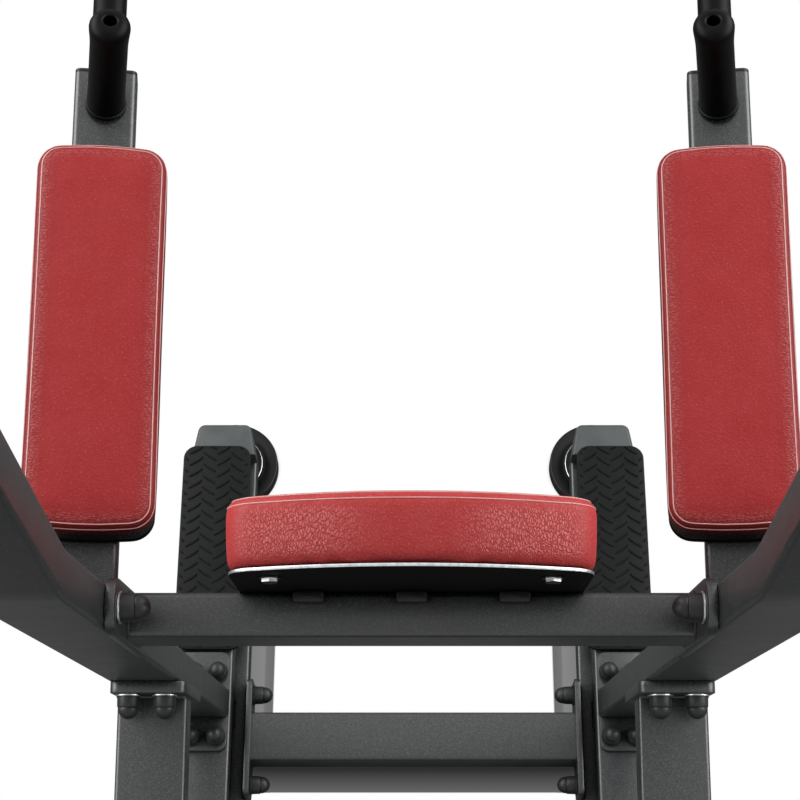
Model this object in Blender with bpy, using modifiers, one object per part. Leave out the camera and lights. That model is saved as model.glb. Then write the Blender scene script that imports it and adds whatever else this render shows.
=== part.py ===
"""Free-standing pull-up station with dip arms, a backrest and stacked base rails.

Units are metres. +Z is up, +Y is the way the user faces, and the origin is on the floor
below the middle of the station.
"""
from math import cos, pi, radians, sin, tan

import bmesh
import bpy
from mathutils import Matrix, Vector

# Clearances
touch_gap = 0.0003

# Whole station
front_reach = 0.560
rear_reach = 0.560
bar_height = 2.080
post_lean = radians(10.0)

# Suction feet
foot_radius = 0.068
foot_height = 0.0260
foot_center_x = 0.2795
foot_past_front_rail = 0.010
foot_from_rear = 0.076
foot_seat_radius = 0.030
foot_ring_radius = 0.045
foot_ring_drop = 0.0012
foot_wall_drop = 0.004
foot_cup_rim = 0.010
foot_cup_depth = 0.012

# Base rails: a wide flat tube with a narrower tube welded on it
lower_rail_width = 0.100
lower_rail_height = 0.030
lower_rail_x = 0.290
upper_rail_width = 0.080
upper_rail_height = 0.040
rail_x = 0.300
rail_wall = 0.0025
rail_corner = 0.005
rail_front_y = 0.434
rail_cap_length = 0.050
cap_plug_length = 0.030
cap_plug_root = 0.004
cap_end_width = 0.082
cap_corner = 0.009
cap_wall_share = 0.35
cap_top_taper = 0.006
cap_top_x = 0.2885
cap_rise = 0.062
cap_edge = 0.005

# Step plates and their rubber mats
step_plate_width = 0.096
step_plate_thickness = 0.004
step_x = 0.296
step_front_y = 0.432
step_rear_y = 0.126
mat_width = 0.103
mat_thickness = 0.007
mat_overhang = 0.003
mat_corner = 0.020
mat_edge = 0.0015

# Posts
post_x = 0.303
post_width = 0.080
post_depth = 0.040
post_wall = 0.0025
post_corner = 0.005
post_foot_y = 0.0466
bend_along_post = 1.248
bend_radius = 0.200
post_above_bar = 0.040
foot_plate_width = 0.078
foot_plate_front = 0.073
foot_plate_rear = 0.070
foot_plate_thickness = 0.008
foot_plate_corner = 0.012
plug_flange = 0.004
plug_skirt = 0.018

# Foot bolts, measured from the middle of the post's foot
foot_bolt_front = 0.0425
foot_bolt_rear = 0.051
foot_bolt_inward = 0.0062
foot_bolt_spread = 0.0175

# Dome capped bolts
dome_radius = 0.0125
dome_barrel = 0.0155
washer_radius = 0.0145
washer_thickness = 0.002

# Beam between the posts
beam_along_post = 0.9595
beam_height = 0.080
beam_depth = 0.040
beam_wall = 0.0025
beam_corner = 0.005
beam_plate_width = 0.050
beam_plate_thickness = 0.009
beam_bolt_offset = 0.088

# Small lugs on the beam that the backrest board is hooked over
lug_spacing = 0.092
lug_width = 0.028
lug_height = 0.011
lug_depth = 0.010

# Backrest
backrest_width = 0.319
backrest_height = 0.360
backrest_above_beam = 0.155
backrest_arch = 0.038
backrest_corner = 0.036
backrest_thickness = 0.064
backrest_board_thickness = 0.003
board_inset = 0.005
board_edge = 0.0015
backrest_bolt_x = 0.120
backrest_bolt_drop = 0.027
hex_bolt_radius = 0.0075
hex_bolt_height = 0.005

# Sewing of the cushions, measured down from the crowned face
cushion_outer_seam = 0.0098
cushion_inner_seam = 0.0030
cushion_seam_groove = 0.0016
cushion_band_width = 0.0050
cushion_wall_hollow = 0.0012

# Arms
arm_x = 0.302
arm_along_post = 0.952
arm_roll = radians(7.5)
arm_width = 0.060
arm_height = 0.040
arm_wall = 0.002
arm_corner = 0.005
arm_length = 0.5145
arm_flange_width = 0.078
arm_flange_height = 0.120
arm_flange_thickness = 0.006
arm_bulkhead_thickness = 0.004
arm_bulkhead_depth = 0.022

# Arm pads
pad_width = 0.124
pad_length = 0.371
pad_thickness = 0.050
pad_corner = 0.024
pad_bow = 0.0045
pad_taper = 0.0055
pad_inward = 0.003
pad_front = 0.0925
pad_board_thickness = 0.006
pad_board_inset = 0.010

# Hand grips
grip_core_radius = 0.0125
grip_radius = 0.0178
grip_bead_radius = 0.0189
grip_length = 0.118
grip_from_arm_end = 0.032
grip_inward = 0.001
grip_forward_tilt = radians(16.0)
grip_inward_tilt = radians(3.2)
grip_end_hole = 0.0065
grip_cap_wall = 0.012
handle_radius = 0.0165

# Rear braces
brace_x = 0.298
brace_along_post = 0.5005
brace_width = 0.080
brace_depth = 0.040
brace_wall = 0.0025
brace_corner = 0.005
brace_reach = 0.200
brace_foot_y = -0.400
brace_bend_radius = 0.100
brace_plate_x = 0.296
brace_plate_width = 0.086
brace_plate_height = 0.150
brace_plate_thickness = 0.013
brace_plate_corner = 0.010
brace_bolt_x = 0.300
brace_bolt_spread = 0.0205
brace_bolt_offset = 0.050
brace_foot_length = 0.120
brace_foot_width = 0.078
brace_foot_thickness = 0.008

# Cross member between the base rails
cross_y = 0.002
cross_below_rail_top = 0.008
cross_width = 0.069
cross_height = 0.050
cross_wall = 0.0025
cross_corner = 0.005
cross_plate_length = 0.168
cross_plate_height = 0.056
cross_plate_thickness = 0.008
cross_plate_corner = 0.010
cross_bolt_offset = 0.065

# Pull-up bar
bar_radius = 0.016
bar_wall = 0.0025
bar_straight_half = 0.390
bar_end_length = 0.170
bar_end_droop = radians(28.0)
bar_end_forward = radians(20.0)
bar_bend_radius = 0.080
bar_standoff = 0.034
bar_stem_width = 0.036
bar_stem_height = 0.050
bar_flange_width = 0.078
bar_flange_height = 0.110
bar_flange_thickness = 0.006
bar_sleeve_length = 0.140
bar_sleeve_radius = 0.0195
bar_sleeve_cap = 0.008

# Heights that follow from the stack of rails
lower_rail_bottom = foot_height
lower_rail_top = lower_rail_bottom + lower_rail_height
upper_rail_bottom = lower_rail_top + touch_gap
upper_rail_top = upper_rail_bottom + upper_rail_height
plate_top = upper_rail_top + touch_gap + foot_plate_thickness

# Positions that follow from the reach of the base
rail_rear_y = -rear_reach + rail_cap_length
foot_front_y = rail_front_y + foot_past_front_rail
foot_rear_y = -rear_reach + foot_from_rear

# Half the size of the blocks that trim a piece flat
trim_size = 0.080

round_steps = 12
grip_steps = 16
foot_steps = 24
corner_steps = 2

finishes = {
    "powder": ((0.066, 0.070, 0.072), 0.42, 0.35),
    "leather": ((0.385, 0.038, 0.042), 0.48, 0.0),
    "rubber": ((0.022, 0.022, 0.023), 0.62, 0.0),
    "grip": ((0.012, 0.012, 0.013), 0.50, 0.0),
    "cap": ((0.115, 0.119, 0.119), 0.45, 0.0),
    "plug": ((0.013, 0.013, 0.014), 0.45, 0.0),
    "board": ((0.012, 0.012, 0.013), 0.40, 0.0),
    "dome": ((0.028, 0.028, 0.030), 0.40, 0.0),
    "zinc": ((0.62, 0.63, 0.64), 0.25, 1.0),
}


def start_scene():
    for old in list(bpy.data.objects):
        bpy.data.objects.remove(old, do_unlink=True)
    scene_collection = bpy.context.scene.collection
    parts = bpy.data.collections.new("pull_up_station")
    tools = bpy.data.collections.new("cutters")
    scene_collection.children.link(parts)
    scene_collection.children.link(tools)
    return parts, tools


station, cutters = start_scene()


def own_material(name, finish):
    color, roughness, metallic = finishes[finish]
    material = bpy.data.materials.new(name + "_" + finish)
    material.use_nodes = True
    shader = material.node_tree.nodes["Principled BSDF"]
    shader.inputs["Base Color"].default_value = (*color, 1.0)
    shader.inputs["Roughness"].default_value = roughness
    shader.inputs["Metallic"].default_value = metallic
    return material


def place_object(name, mesh, finish=None, matrix=None):
    """Add a mesh to the station, or to the cutters where it has no finish."""
    piece = bpy.data.objects.new(name, mesh)
    if finish:
        station.objects.link(piece)
        mesh.materials.append(own_material(name, finish))
    else:
        cutters.objects.link(piece)
        piece.hide_render = True
        piece.display_type = "WIRE"
    if matrix is not None:
        piece.matrix_world = matrix
    return piece


def smooth(mesh, angle=radians(35.0)):
    mesh.shade_smooth()
    mesh.set_sharp_from_angle(angle=angle)


def combine(body, other, operation="UNION"):
    """Join another object to a body, or cut it out of the body."""
    step = body.modifiers.new(operation.lower() + "_" + other.name, "BOOLEAN")
    step.operation = operation
    step.solver = "EXACT"
    step.object = other
    return body


def shift(x=0.0, y=0.0, z=0.0):
    return Matrix.Translation((x, y, z))


def turn(angle, axis):
    return Matrix.Rotation(angle, 4, axis)


def on_post(x, along, forward):
    """Frame of the leaning post: local Y points forward, local Z runs up the post."""
    y = post_foot_y - along * sin(post_lean) + forward * cos(post_lean)
    z = upper_rail_top + along * cos(post_lean) + forward * sin(post_lean)
    return shift(x, y, z) @ turn(post_lean, "X")


# Turns a flat outline so that it stands up, with its thickness towards +Y
face_forward = turn(pi / 2, "X") @ turn(pi, "Y")


def rounded_polygon(corners, radii, steps=corner_steps):
    """Outline of a polygon whose corners are arcs, listed counter-clockwise."""
    outline = []
    count = len(corners)
    for index, corner in enumerate(corners):
        here = Vector(corner)
        back = (Vector(corners[index - 1]) - here).normalized()
        ahead = (Vector(corners[(index + 1) % count]) - here).normalized()
        radius = radii[index]
        if radius <= 0:
            outline.append(here)
            continue
        half = back.angle(ahead) / 2
        start = here + back * radius / tan(half)
        center = here + (back + ahead).normalized() * radius / sin(half)
        sweep_angle = pi - 2 * half
        spoke = start - center
        for step in range(steps + 1):
            a = sweep_angle * step / steps
            outline.append(center + Vector((spoke.x * cos(a) - spoke.y * sin(a),
                                            spoke.x * sin(a) + spoke.y * cos(a))))
    return outline


def rounded_rectangle(width, height, radius, steps=corner_steps):
    w, h = width / 2, height / 2
    corners = [(-w, -h), (w, -h), (w, h), (-w, h)]
    return rounded_polygon(corners, [radius] * 4, steps)


def bore_outline(width, height, corner, wall):
    """Outline of a plug that fills a tube's bore with a gap all round."""
    drawn = wall + touch_gap
    return rounded_rectangle(width - 2 * drawn, height - 2 * drawn, corner - wall)


def circle(radius, steps=round_steps):
    return [Vector((radius * cos(2 * pi * i / steps), radius * sin(2 * pi * i / steps)))
            for i in range(steps)]


def inset(outline, distance):
    """The same outline with each side drawn in by a distance, about its own middle."""
    low = Vector((min(p.x for p in outline), min(p.y for p in outline)))
    high = Vector((max(p.x for p in outline), max(p.y for p in outline)))
    middle = (low + high) / 2
    half = (high - low) / 2
    return [Vector((middle.x + (p.x - middle.x) * (1 - distance / half.x),
                    middle.y + (p.y - middle.y) * (1 - distance / half.y)))
            for p in outline]


def loft(rings, capped=True):
    """Mesh through rings of points, each ring drawn from the last by an extrusion."""
    bm = bmesh.new()
    verts = [bm.verts.new(point) for point in rings[0]]
    edges = [bm.edges.new((verts[i - 1], verts[i])) for i in range(len(verts))]
    if capped:
        bm.faces.new(verts)
    for ring in rings[1:]:
        result = bmesh.ops.extrude_edge_only(bm, edges=edges)["geom"]
        edges = [item for item in result if isinstance(item, bmesh.types.BMEdge)]
        fresh = [item for item in result if isinstance(item, bmesh.types.BMVert)]
        pairs = {}
        for old in verts:
            for edge in old.link_edges:
                other = edge.other_vert(old)
                if other in fresh:
                    pairs[old] = other
        verts = [pairs[old] for old in verts]
        for vert, point in zip(verts, ring):
            vert.co = point
    if capped:
        bm.faces.new(verts)
    bmesh.ops.recalc_face_normals(bm, faces=bm.faces)
    mesh = bpy.data.meshes.new("loft")
    bm.to_mesh(mesh)
    bm.free()
    smooth(mesh)
    return mesh


def bent_stations(corners, radius, side, steps=4):
    """Frames along a path through corners that are rounded by arcs."""
    points = [Vector(corner) for corner in corners]
    side = Vector(side).normalized()

    def frame(point, ahead):
        up = ahead.cross(side)
        rotation = Matrix((side, up, ahead)).transposed().to_4x4()
        return Matrix.Translation(point) @ rotation

    ahead = (points[1] - points[0]).normalized()
    stations = [frame(points[0], ahead)]
    for index in range(1, len(points) - 1):
        ahead = (points[index] - points[index - 1]).normalized()
        after = (points[index + 1] - points[index]).normalized()
        angle = ahead.angle(after)
        start = points[index] - ahead * radius * tan(angle / 2)
        axis = ahead.cross(after).normalized()
        center = start + axis.cross(ahead) * radius
        for step in range(steps + 1):
            rotation = Matrix.Rotation(angle * step / steps, 3, axis)
            stations.append(frame(center + rotation @ (start - center), rotation @ ahead))
    stations.append(frame(points[-1], (points[-1] - points[-2]).normalized()))
    return stations


def sweep(outline, stations, capped):
    rings = [[station_frame @ point.to_3d() for point in outline] for station_frame in stations]
    return loft(rings, capped)


def tube(name, outline, stations, wall, finish):
    """Hollow tube with open ends along a bent or straight path."""
    piece = place_object(name, sweep(outline, stations, False), finish)
    walls = piece.modifiers.new("wall", "SOLIDIFY")
    walls.thickness = wall
    walls.offset = -1.0
    walls.use_even_offset = True
    return piece


def straight(matrix, low, high):
    """Two stations along a frame's local Z, from low to high."""
    return [matrix @ shift(z=low), matrix @ shift(z=high)]


def bar(name, outline, matrix, low, high, finish=None):
    """Solid prism of an outline along a frame's local Z."""
    return place_object(name, sweep(outline, straight(matrix, low, high), True), finish)


def plate(name, outline, thickness, matrix, finish=None, holes=()):
    """Flat plate from a filled outline, centred on the frame's XY plane."""
    curve = bpy.data.curves.new(name, "CURVE")
    curve.dimensions = "2D"
    curve.fill_mode = "BOTH"
    curve.extrude = thickness / 2
    for ring in (outline, *holes):
        spline = curve.splines.new("POLY")
        spline.points.add(len(ring) - 1)
        for point, place in zip(spline.points, ring):
            point.co = (place.x, place.y, 0.0, 1.0)
        spline.use_cyclic_u = True
    flat = bpy.data.objects.new(name + "_curve", curve)
    cutters.objects.link(flat)
    view_layer = bpy.context.view_layer
    view_layer.update()
    evaluated = flat.evaluated_get(bpy.context.evaluated_depsgraph_get())
    mesh = bpy.data.meshes.new_from_object(evaluated)
    bm = bmesh.new()
    bm.from_mesh(mesh)
    bmesh.ops.remove_doubles(bm, verts=bm.verts, dist=0.00001)
    bmesh.ops.recalc_face_normals(bm, faces=bm.faces)
    bm.to_mesh(mesh)
    bm.free()
    bpy.data.objects.remove(flat, do_unlink=True)
    mesh.materials.clear()
    smooth(mesh)
    return place_object(name, mesh, finish, matrix)


def turned(name, profile, matrix, finish, steps=round_steps):
    """Turned piece about the frame's local Z, from a profile that runs down its outer side."""
    mesh = bpy.data.meshes.new(name)
    points = [(radius, 0.0, height) for radius, height in profile]
    edges = [(i, i + 1) for i in range(len(points) - 1)]
    if profile[0][0] > 0:
        edges.append((len(points) - 1, 0))
    mesh.from_pydata(points, edges, [])
    piece = place_object(name, mesh, finish, matrix)
    lathe = piece.modifiers.new("lathe", "SCREW")
    lathe.axis = "Z"
    lathe.angle = 2 * pi
    lathe.steps = steps
    lathe.render_steps = steps
    lathe.use_merge_vertices = True
    lathe.merge_threshold = 0.00001
    lathe.use_smooth_shade = True
    return piece


def side_name(side):
    return "right" if side > 0 else "left"


def dome_bolt(name, matrix, finish="dome"):
    """Capped bolt head on its washer, standing on the frame's XY plane."""
    barrel_top = washer_thickness + dome_barrel
    profile = [(0.0, barrel_top + dome_radius)]
    for degrees in (30, 60):
        a = radians(degrees)
        profile.append((dome_radius * sin(a), barrel_top + dome_radius * cos(a)))
    profile += [
        (dome_radius, barrel_top),
        (dome_radius, washer_thickness),
        (washer_radius, washer_thickness),
        (washer_radius, 0.0),
        (0.0, 0.0),
    ]
    return turned(name, profile, matrix, finish)


def suction_foot(side, y, end):
    """Rubber cup that the rail stands on."""
    top = foot_height - touch_gap
    shoulder = top - foot_wall_drop
    profile = [
        (0.0, top),
        (foot_seat_radius, top),
        (foot_ring_radius, top - foot_ring_drop),
        (foot_ring_radius + 0.001, shoulder + 0.001),
        (foot_radius - 0.004, shoulder),
        (foot_radius - 0.001, shoulder - 0.002),
        (foot_radius, 0.0),
        (foot_radius - foot_cup_rim, 0.0),
        (foot_seat_radius, foot_cup_depth),
        (0.0, foot_cup_depth + 0.001),
    ]
    turned(f"suction_foot_{end}_{side_name(side)}", profile,
           shift(side * foot_center_x, y, 0.0), "rubber", foot_steps)


def base_rails(side):
    """Lower and upper rail, and the plate that the step mat lies on."""
    name = side_name(side)
    along_y = turn(-pi / 2, "X")
    low = shift(side * lower_rail_x, 0.0, lower_rail_bottom + lower_rail_height / 2) @ along_y
    high = shift(side * rail_x, 0.0, upper_rail_bottom + upper_rail_height / 2) @ along_y
    tube(f"lower_rail_{name}", rounded_rectangle(lower_rail_width, lower_rail_height, rail_corner),
         straight(low, rail_rear_y, rail_front_y), rail_wall, "powder")
    upper = tube(f"upper_rail_{name}",
                 rounded_rectangle(upper_rail_width, upper_rail_height, rail_corner),
                 straight(high, rail_rear_y, rail_front_y), rail_wall, "powder")
    step_length = step_front_y - step_rear_y
    step_center_y = (step_front_y + step_rear_y) / 2
    step_plate = plate(f"step_plate_{name}",
                       rounded_rectangle(step_plate_width, step_length, mat_corner),
                       step_plate_thickness + rail_wall / 2,
                       shift(side * step_x, step_center_y,
                             upper_rail_top + step_plate_thickness / 2 - rail_wall / 4))
    combine(upper, step_plate)


def step_mat(side):
    name = f"step_mat_{side_name(side)}"
    length = step_front_y - step_rear_y + 2 * mat_overhang
    bottom = upper_rail_top + step_plate_thickness + touch_gap
    center_y = (step_front_y + step_rear_y) / 2
    outline = rounded_rectangle(mat_width, length, mat_corner, 5)
    low = shift(side * step_x, center_y, bottom)
    rings = []
    for drawn_in, height in ((0.0, 0.0), (0.0, mat_thickness - mat_edge),
                             (mat_edge, mat_thickness)):
        rings.append([low @ (point.to_3d() + Vector((0, 0, height)))
                      for point in inset(outline, drawn_in)])
    place_object(name, loft(rings), "rubber")


def cap_outline(width, end_width, length, way):
    """Plan of an end cap from the rail at y = 0, narrowing to its rounded outer end."""
    w, e, y = width / 2, end_width / 2, way * length
    corners = [(-w, 0.0), (w, 0.0), (e, y), (-e, y)]
    radii = [cap_edge / 4, cap_edge / 4, cap_corner, cap_corner]
    if way < 0:
        corners.reverse()
        radii.reverse()
    return rounded_polygon(corners, radii, 3)


def rail_end_cap(side, front):
    """Wedge-shaped plastic cap over the ends of both rails, with a plug in the lower one."""
    name = f"rail_cap_{'front' if front else 'rear'}_{side_name(side)}"
    way = 1 if front else -1
    base_y = (rail_front_y if front else rail_rear_y) + way * touch_gap
    length = rail_cap_length - touch_gap
    narrowing = cap_top_taper
    levels = [
        (lower_rail_width, cap_end_width, length, 0.0, lower_rail_x),
        (lower_rail_width, cap_end_width, length, cap_rise * cap_wall_share, lower_rail_x),
        (lower_rail_width - narrowing / 2, cap_end_width - narrowing / 2, length - cap_edge / 4,
         cap_rise - cap_edge, cap_top_x),
        (lower_rail_width - narrowing, cap_end_width - narrowing - cap_edge / 2,
         length - cap_edge / 2, cap_rise, cap_top_x),
    ]
    rings = []
    for width, end_width, depth, height, x in levels:
        place = shift(side * x, base_y, lower_rail_bottom + height)
        rings.append([place @ point.to_3d()
                      for point in cap_outline(width, end_width, depth, way)])
    cap = place_object(name, loft(rings), "cap")
    bore = bore_outline(lower_rail_width, lower_rail_height, rail_corner, rail_wall)
    lower = bar(name + "_lower_plug", bore,
                shift(side * lower_rail_x, base_y, lower_rail_bottom + lower_rail_height / 2)
                @ turn(-pi / 2, "X"), -way * cap_plug_length, way * cap_plug_root)
    combine(cap, lower)


def post(side):
    """Bent post with the plate that bolts it to the base rails."""
    name = f"post_{side_name(side)}"
    x = side * post_x
    foot = on_post(x, foot_plate_thickness / 2 + touch_gap, 0.0).translation
    bend = on_post(x, bend_along_post, 0.0).translation
    top = Vector((x, bend.y, bar_height + post_above_bar))
    body = tube(name, rounded_rectangle(post_width, post_depth, post_corner),
                bent_stations([foot, bend, top], bend_radius, (1, 0, 0)), post_wall, "powder")
    length = foot_plate_front + foot_plate_rear
    middle_y = post_foot_y + (foot_plate_front - foot_plate_rear) / 2
    foot_plate = plate(f"foot_plate_{side_name(side)}",
                       rounded_rectangle(foot_plate_width, length, foot_plate_corner),
                       foot_plate_thickness,
                       shift(x, middle_y, plate_top - foot_plate_thickness / 2))
    combine(body, foot_plate)
    plug_outline = rounded_rectangle(post_width, post_depth, post_corner)
    plug = bar(f"post_plug_{side_name(side)}", plug_outline, shift(x, top.y, top.z),
               touch_gap, plug_flange, "plug")
    skirt = bar(f"post_plug_skirt_{side_name(side)}",
                bore_outline(post_width, post_depth, post_corner, post_wall),
                shift(x, top.y, top.z), -plug_skirt, plug_flange / 2)
    combine(plug, skirt)


def foot_bolts(side):
    middle = post_x - foot_bolt_inward
    for label, y in (("front", foot_bolt_front), ("rear", -foot_bolt_rear)):
        for place, spread in (("outer", foot_bolt_spread), ("inner", -foot_bolt_spread)):
            dome_bolt(f"foot_bolt_{label}_{place}_{side_name(side)}",
                      shift(side * (middle + spread), post_foot_y + y, plate_top + touch_gap))


def back_beam():
    """Beam between the posts, with an ear plate at each end and three lugs for the backrest."""
    half = post_x - post_width / 2 - touch_gap
    center = on_post(0.0, beam_along_post, 0.0)
    along_x = center @ turn(pi / 2, "Y")
    tube_half = half - beam_plate_thickness / 2
    body = tube("back_beam", rounded_rectangle(beam_height, beam_depth, beam_corner),
                straight(along_x, -tube_half, tube_half), beam_wall, "powder")
    plate_length = 2 * beam_bolt_offset + beam_plate_width
    ear = rounded_rectangle(plate_length, beam_plate_width, beam_plate_width / 2 - 0.0001, 6)
    bore = rounded_rectangle(beam_height - 4 * beam_wall, beam_depth - 4 * beam_wall,
                             beam_corner - beam_wall)
    for side in (-1, 1):
        end = plate(f"beam_ear_{side_name(side)}", ear, beam_plate_thickness,
                    along_x @ shift(z=side * (half - beam_plate_thickness / 2)), holes=(bore,))
        combine(body, end)
    for place, x in (("left", -lug_spacing), ("middle", 0.0), ("right", lug_spacing)):
        lug_frame = on_post(x, beam_along_post + beam_height / 2, beam_depth / 2)
        lug = bar(f"beam_lug_{place}", rounded_rectangle(lug_width, lug_depth, 0.003),
                  lug_frame @ shift(y=-lug_depth / 2 - touch_gap), -beam_wall / 2, lug_height)
        combine(body, lug)


def beam_bolts(side):
    face = side * (post_x - post_width / 2 - touch_gap - beam_plate_thickness - touch_gap)
    inward = turn(-side * pi / 2, "Y")
    place = on_post(face, beam_along_post + beam_bolt_offset, 0.0)
    dome_bolt(f"beam_bolt_{side_name(side)}", place @ inward)


def backrest_outline():
    w, h = backrest_width / 2, backrest_height
    shoulder = h - backrest_arch
    corners = [(-w, 0.0), (w, 0.0), (w, shoulder)]
    radii = [backrest_corner, backrest_corner, backrest_corner]
    arch_points = 7
    for step in range(1, arch_points):
        x = w * (1 - 2 * step / arch_points)
        corners.append((x, shoulder + backrest_arch * (1 - (x / w) ** 2)))
        radii.append(0.0)
    corners.append((-w, shoulder))
    radii.append(backrest_corner)
    return rounded_polygon(corners, radii, 4)


def cushion(name, outline, thickness, matrix, taper=0.0):
    """Sewn cushion: sides drawn in, two seams round the edge and a crowned face."""
    outer_seam = thickness - cushion_outer_seam
    inner_seam = thickness - cushion_inner_seam
    groove = cushion_seam_groove
    levels = [
        (taper + 0.0045, 0.0),
        (taper + 0.0010, 0.003),
        (taper * 0.8, 0.010),
        (taper / 2 + cushion_wall_hollow, outer_seam / 2),
        (0.0, outer_seam - 0.003),
        (groove, outer_seam),
        (0.0006, outer_seam + 0.0015),
        (cushion_band_width * 0.55, inner_seam - 0.0010),
        (cushion_band_width, inner_seam - groove),
        (cushion_band_width + 0.002, inner_seam + 0.0002),
        (cushion_band_width + 0.008, thickness - 0.0015),
        (cushion_band_width + 0.020, thickness - 0.0004),
        (cushion_band_width + 0.036, thickness),
    ]
    rings = []
    for drawn_in, height in levels:
        rings.append([matrix @ (point.to_3d() + Vector((0, 0, height)))
                      for point in inset(outline, drawn_in)])
    place_object(name, loft(rings), "leather")


def board(name, outline, thickness, drawn_in, edge, matrix):
    """Thin backing board, its free face eased at the edge."""
    rings = []
    for inward, height in ((drawn_in + edge, 0.0), (drawn_in, edge), (drawn_in, thickness)):
        rings.append([matrix @ (point.to_3d() + Vector((0, 0, height)))
                      for point in inset(outline, inward)])
    place_object(name, loft(rings), "board")


def backrest():
    board_bottom = beam_along_post + beam_height / 2 + backrest_above_beam - backrest_height
    rear_face = beam_depth / 2 + touch_gap
    outline = backrest_outline()
    board_place = on_post(0.0, board_bottom, rear_face) @ face_forward
    board("backrest_board", outline, backrest_board_thickness, board_inset, board_edge,
          board_place)
    pad_place = board_place @ shift(z=backrest_board_thickness + touch_gap)
    cushion("backrest_pad", outline, backrest_thickness, pad_place)
    for side in (-1, 1):
        bolt_along = board_bottom + backrest_height - backrest_arch - backrest_bolt_drop
        place = on_post(side * backrest_bolt_x, bolt_along, rear_face - touch_gap)
        head = bar(f"backrest_bolt_{side_name(side)}", circle(hex_bolt_radius, 6),
                   place @ turn(pi / 2, "X"), 0.0, hex_bolt_height, "zinc")
        head.data.shade_flat()


def on_arm(side, forward, up=0.0):
    """Frame on the arm's axis: local Y points forward, local Z out of its rolled top face."""
    axis = on_post(side * arm_x, arm_along_post, forward)
    return axis @ turn(-side * arm_roll, "Y") @ shift(z=up)


def grip_seat(side):
    """Where the upright grip stands on the arm's top face, square to that face."""
    forward = post_depth / 2 + arm_length - grip_from_arm_end
    return on_arm(side, forward, arm_height / 2) @ shift(x=-side * grip_inward)


def grip_base(side):
    """Frame of the upright grip, tilted forwards and a little inwards."""
    tilt = turn(-side * grip_inward_tilt, "Y") @ turn(-grip_forward_tilt, "X")
    return grip_seat(side) @ tilt


def rubber_grip(name, matrix, length, radius, bead, hole):
    """Moulded grip with a domed end, open to the tube that it is pushed on."""
    bore = grip_core_radius + touch_gap
    profile = [
        (hole, length),
        (radius * 0.62, length - radius * 0.20),
        (bead * 0.93, length - radius * 0.58),
        (bead, length - radius * 0.95),
        (radius, length - radius * 1.5),
        (radius, 0.005),
        (radius + 0.0012, 0.004),
        (radius + 0.0012, 0.0),
        (bore, 0.0),
        (bore, length - grip_cap_wall),
        (hole, length - grip_cap_wall),
    ]
    return turned(name, profile, matrix, "grip", grip_steps)


def arm(side):
    """Dip arm: tube, wall flange, bulkhead and the two steel cores of its grips."""
    name = f"arm_{side_name(side)}"
    root = post_depth / 2 + touch_gap
    tip = post_depth / 2 + arm_length
    forward = on_arm(side, 0.0) @ turn(-pi / 2, "X")
    body = tube(name, rounded_rectangle(arm_width, arm_height, arm_corner),
                straight(forward, root + arm_flange_thickness / 2, tip), arm_wall, "powder")
    flange_x = side * (post_x - arm_x)
    roll = turn(-side * arm_roll, "Z")
    bore = []
    for point in rounded_rectangle(arm_width - 4 * arm_wall, arm_height - 4 * arm_wall,
                                   arm_corner / 2):
        bore.append((roll @ point.to_3d()).to_2d() - Vector((flange_x, 0.0)))
    square = on_post(side * arm_x, arm_along_post, 0.0) @ turn(-pi / 2, "X")
    flange = plate(f"arm_flange_{side_name(side)}",
                   rounded_rectangle(arm_flange_width, arm_flange_height, 0.008),
                   arm_flange_thickness,
                   square @ shift(x=flange_x, z=root + arm_flange_thickness / 2), holes=(bore,))
    combine(body, flange)
    bulkhead_at = tip - arm_bulkhead_depth
    bulkhead = bar(f"arm_bulkhead_{side_name(side)}",
                   rounded_rectangle(arm_width - arm_wall, arm_height - arm_wall, arm_corner / 2),
                   forward, bulkhead_at - arm_bulkhead_thickness, bulkhead_at)
    combine(body, bulkhead)
    handle_end = front_reach_along_arm() - grip_cap_wall - touch_gap
    handle_core = bar(f"handle_core_{side_name(side)}", circle(grip_core_radius, grip_steps),
                      forward, bulkhead_at - arm_bulkhead_thickness / 2, handle_end)
    combine(body, handle_core)
    upright_core = bar(f"upright_core_{side_name(side)}", circle(grip_core_radius, grip_steps),
                       grip_base(side), -arm_height / 2, grip_length - grip_cap_wall - touch_gap)
    trim = bar(f"upright_core_trim_{side_name(side)}",
               rounded_rectangle(trim_size, trim_size, arm_corner), grip_seat(side),
               -trim_size, -arm_wall / 2)
    combine(upright_core, trim, "DIFFERENCE")
    combine(body, upright_core)


def front_reach_along_arm():
    """Distance along the arm at which its forward handle reaches the front of the station."""
    axis = on_post(0.0, arm_along_post, 0.0).translation
    rim = grip_end_hole * sin(post_lean)
    return (front_reach - axis.y - rim) / cos(post_lean)


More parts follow.
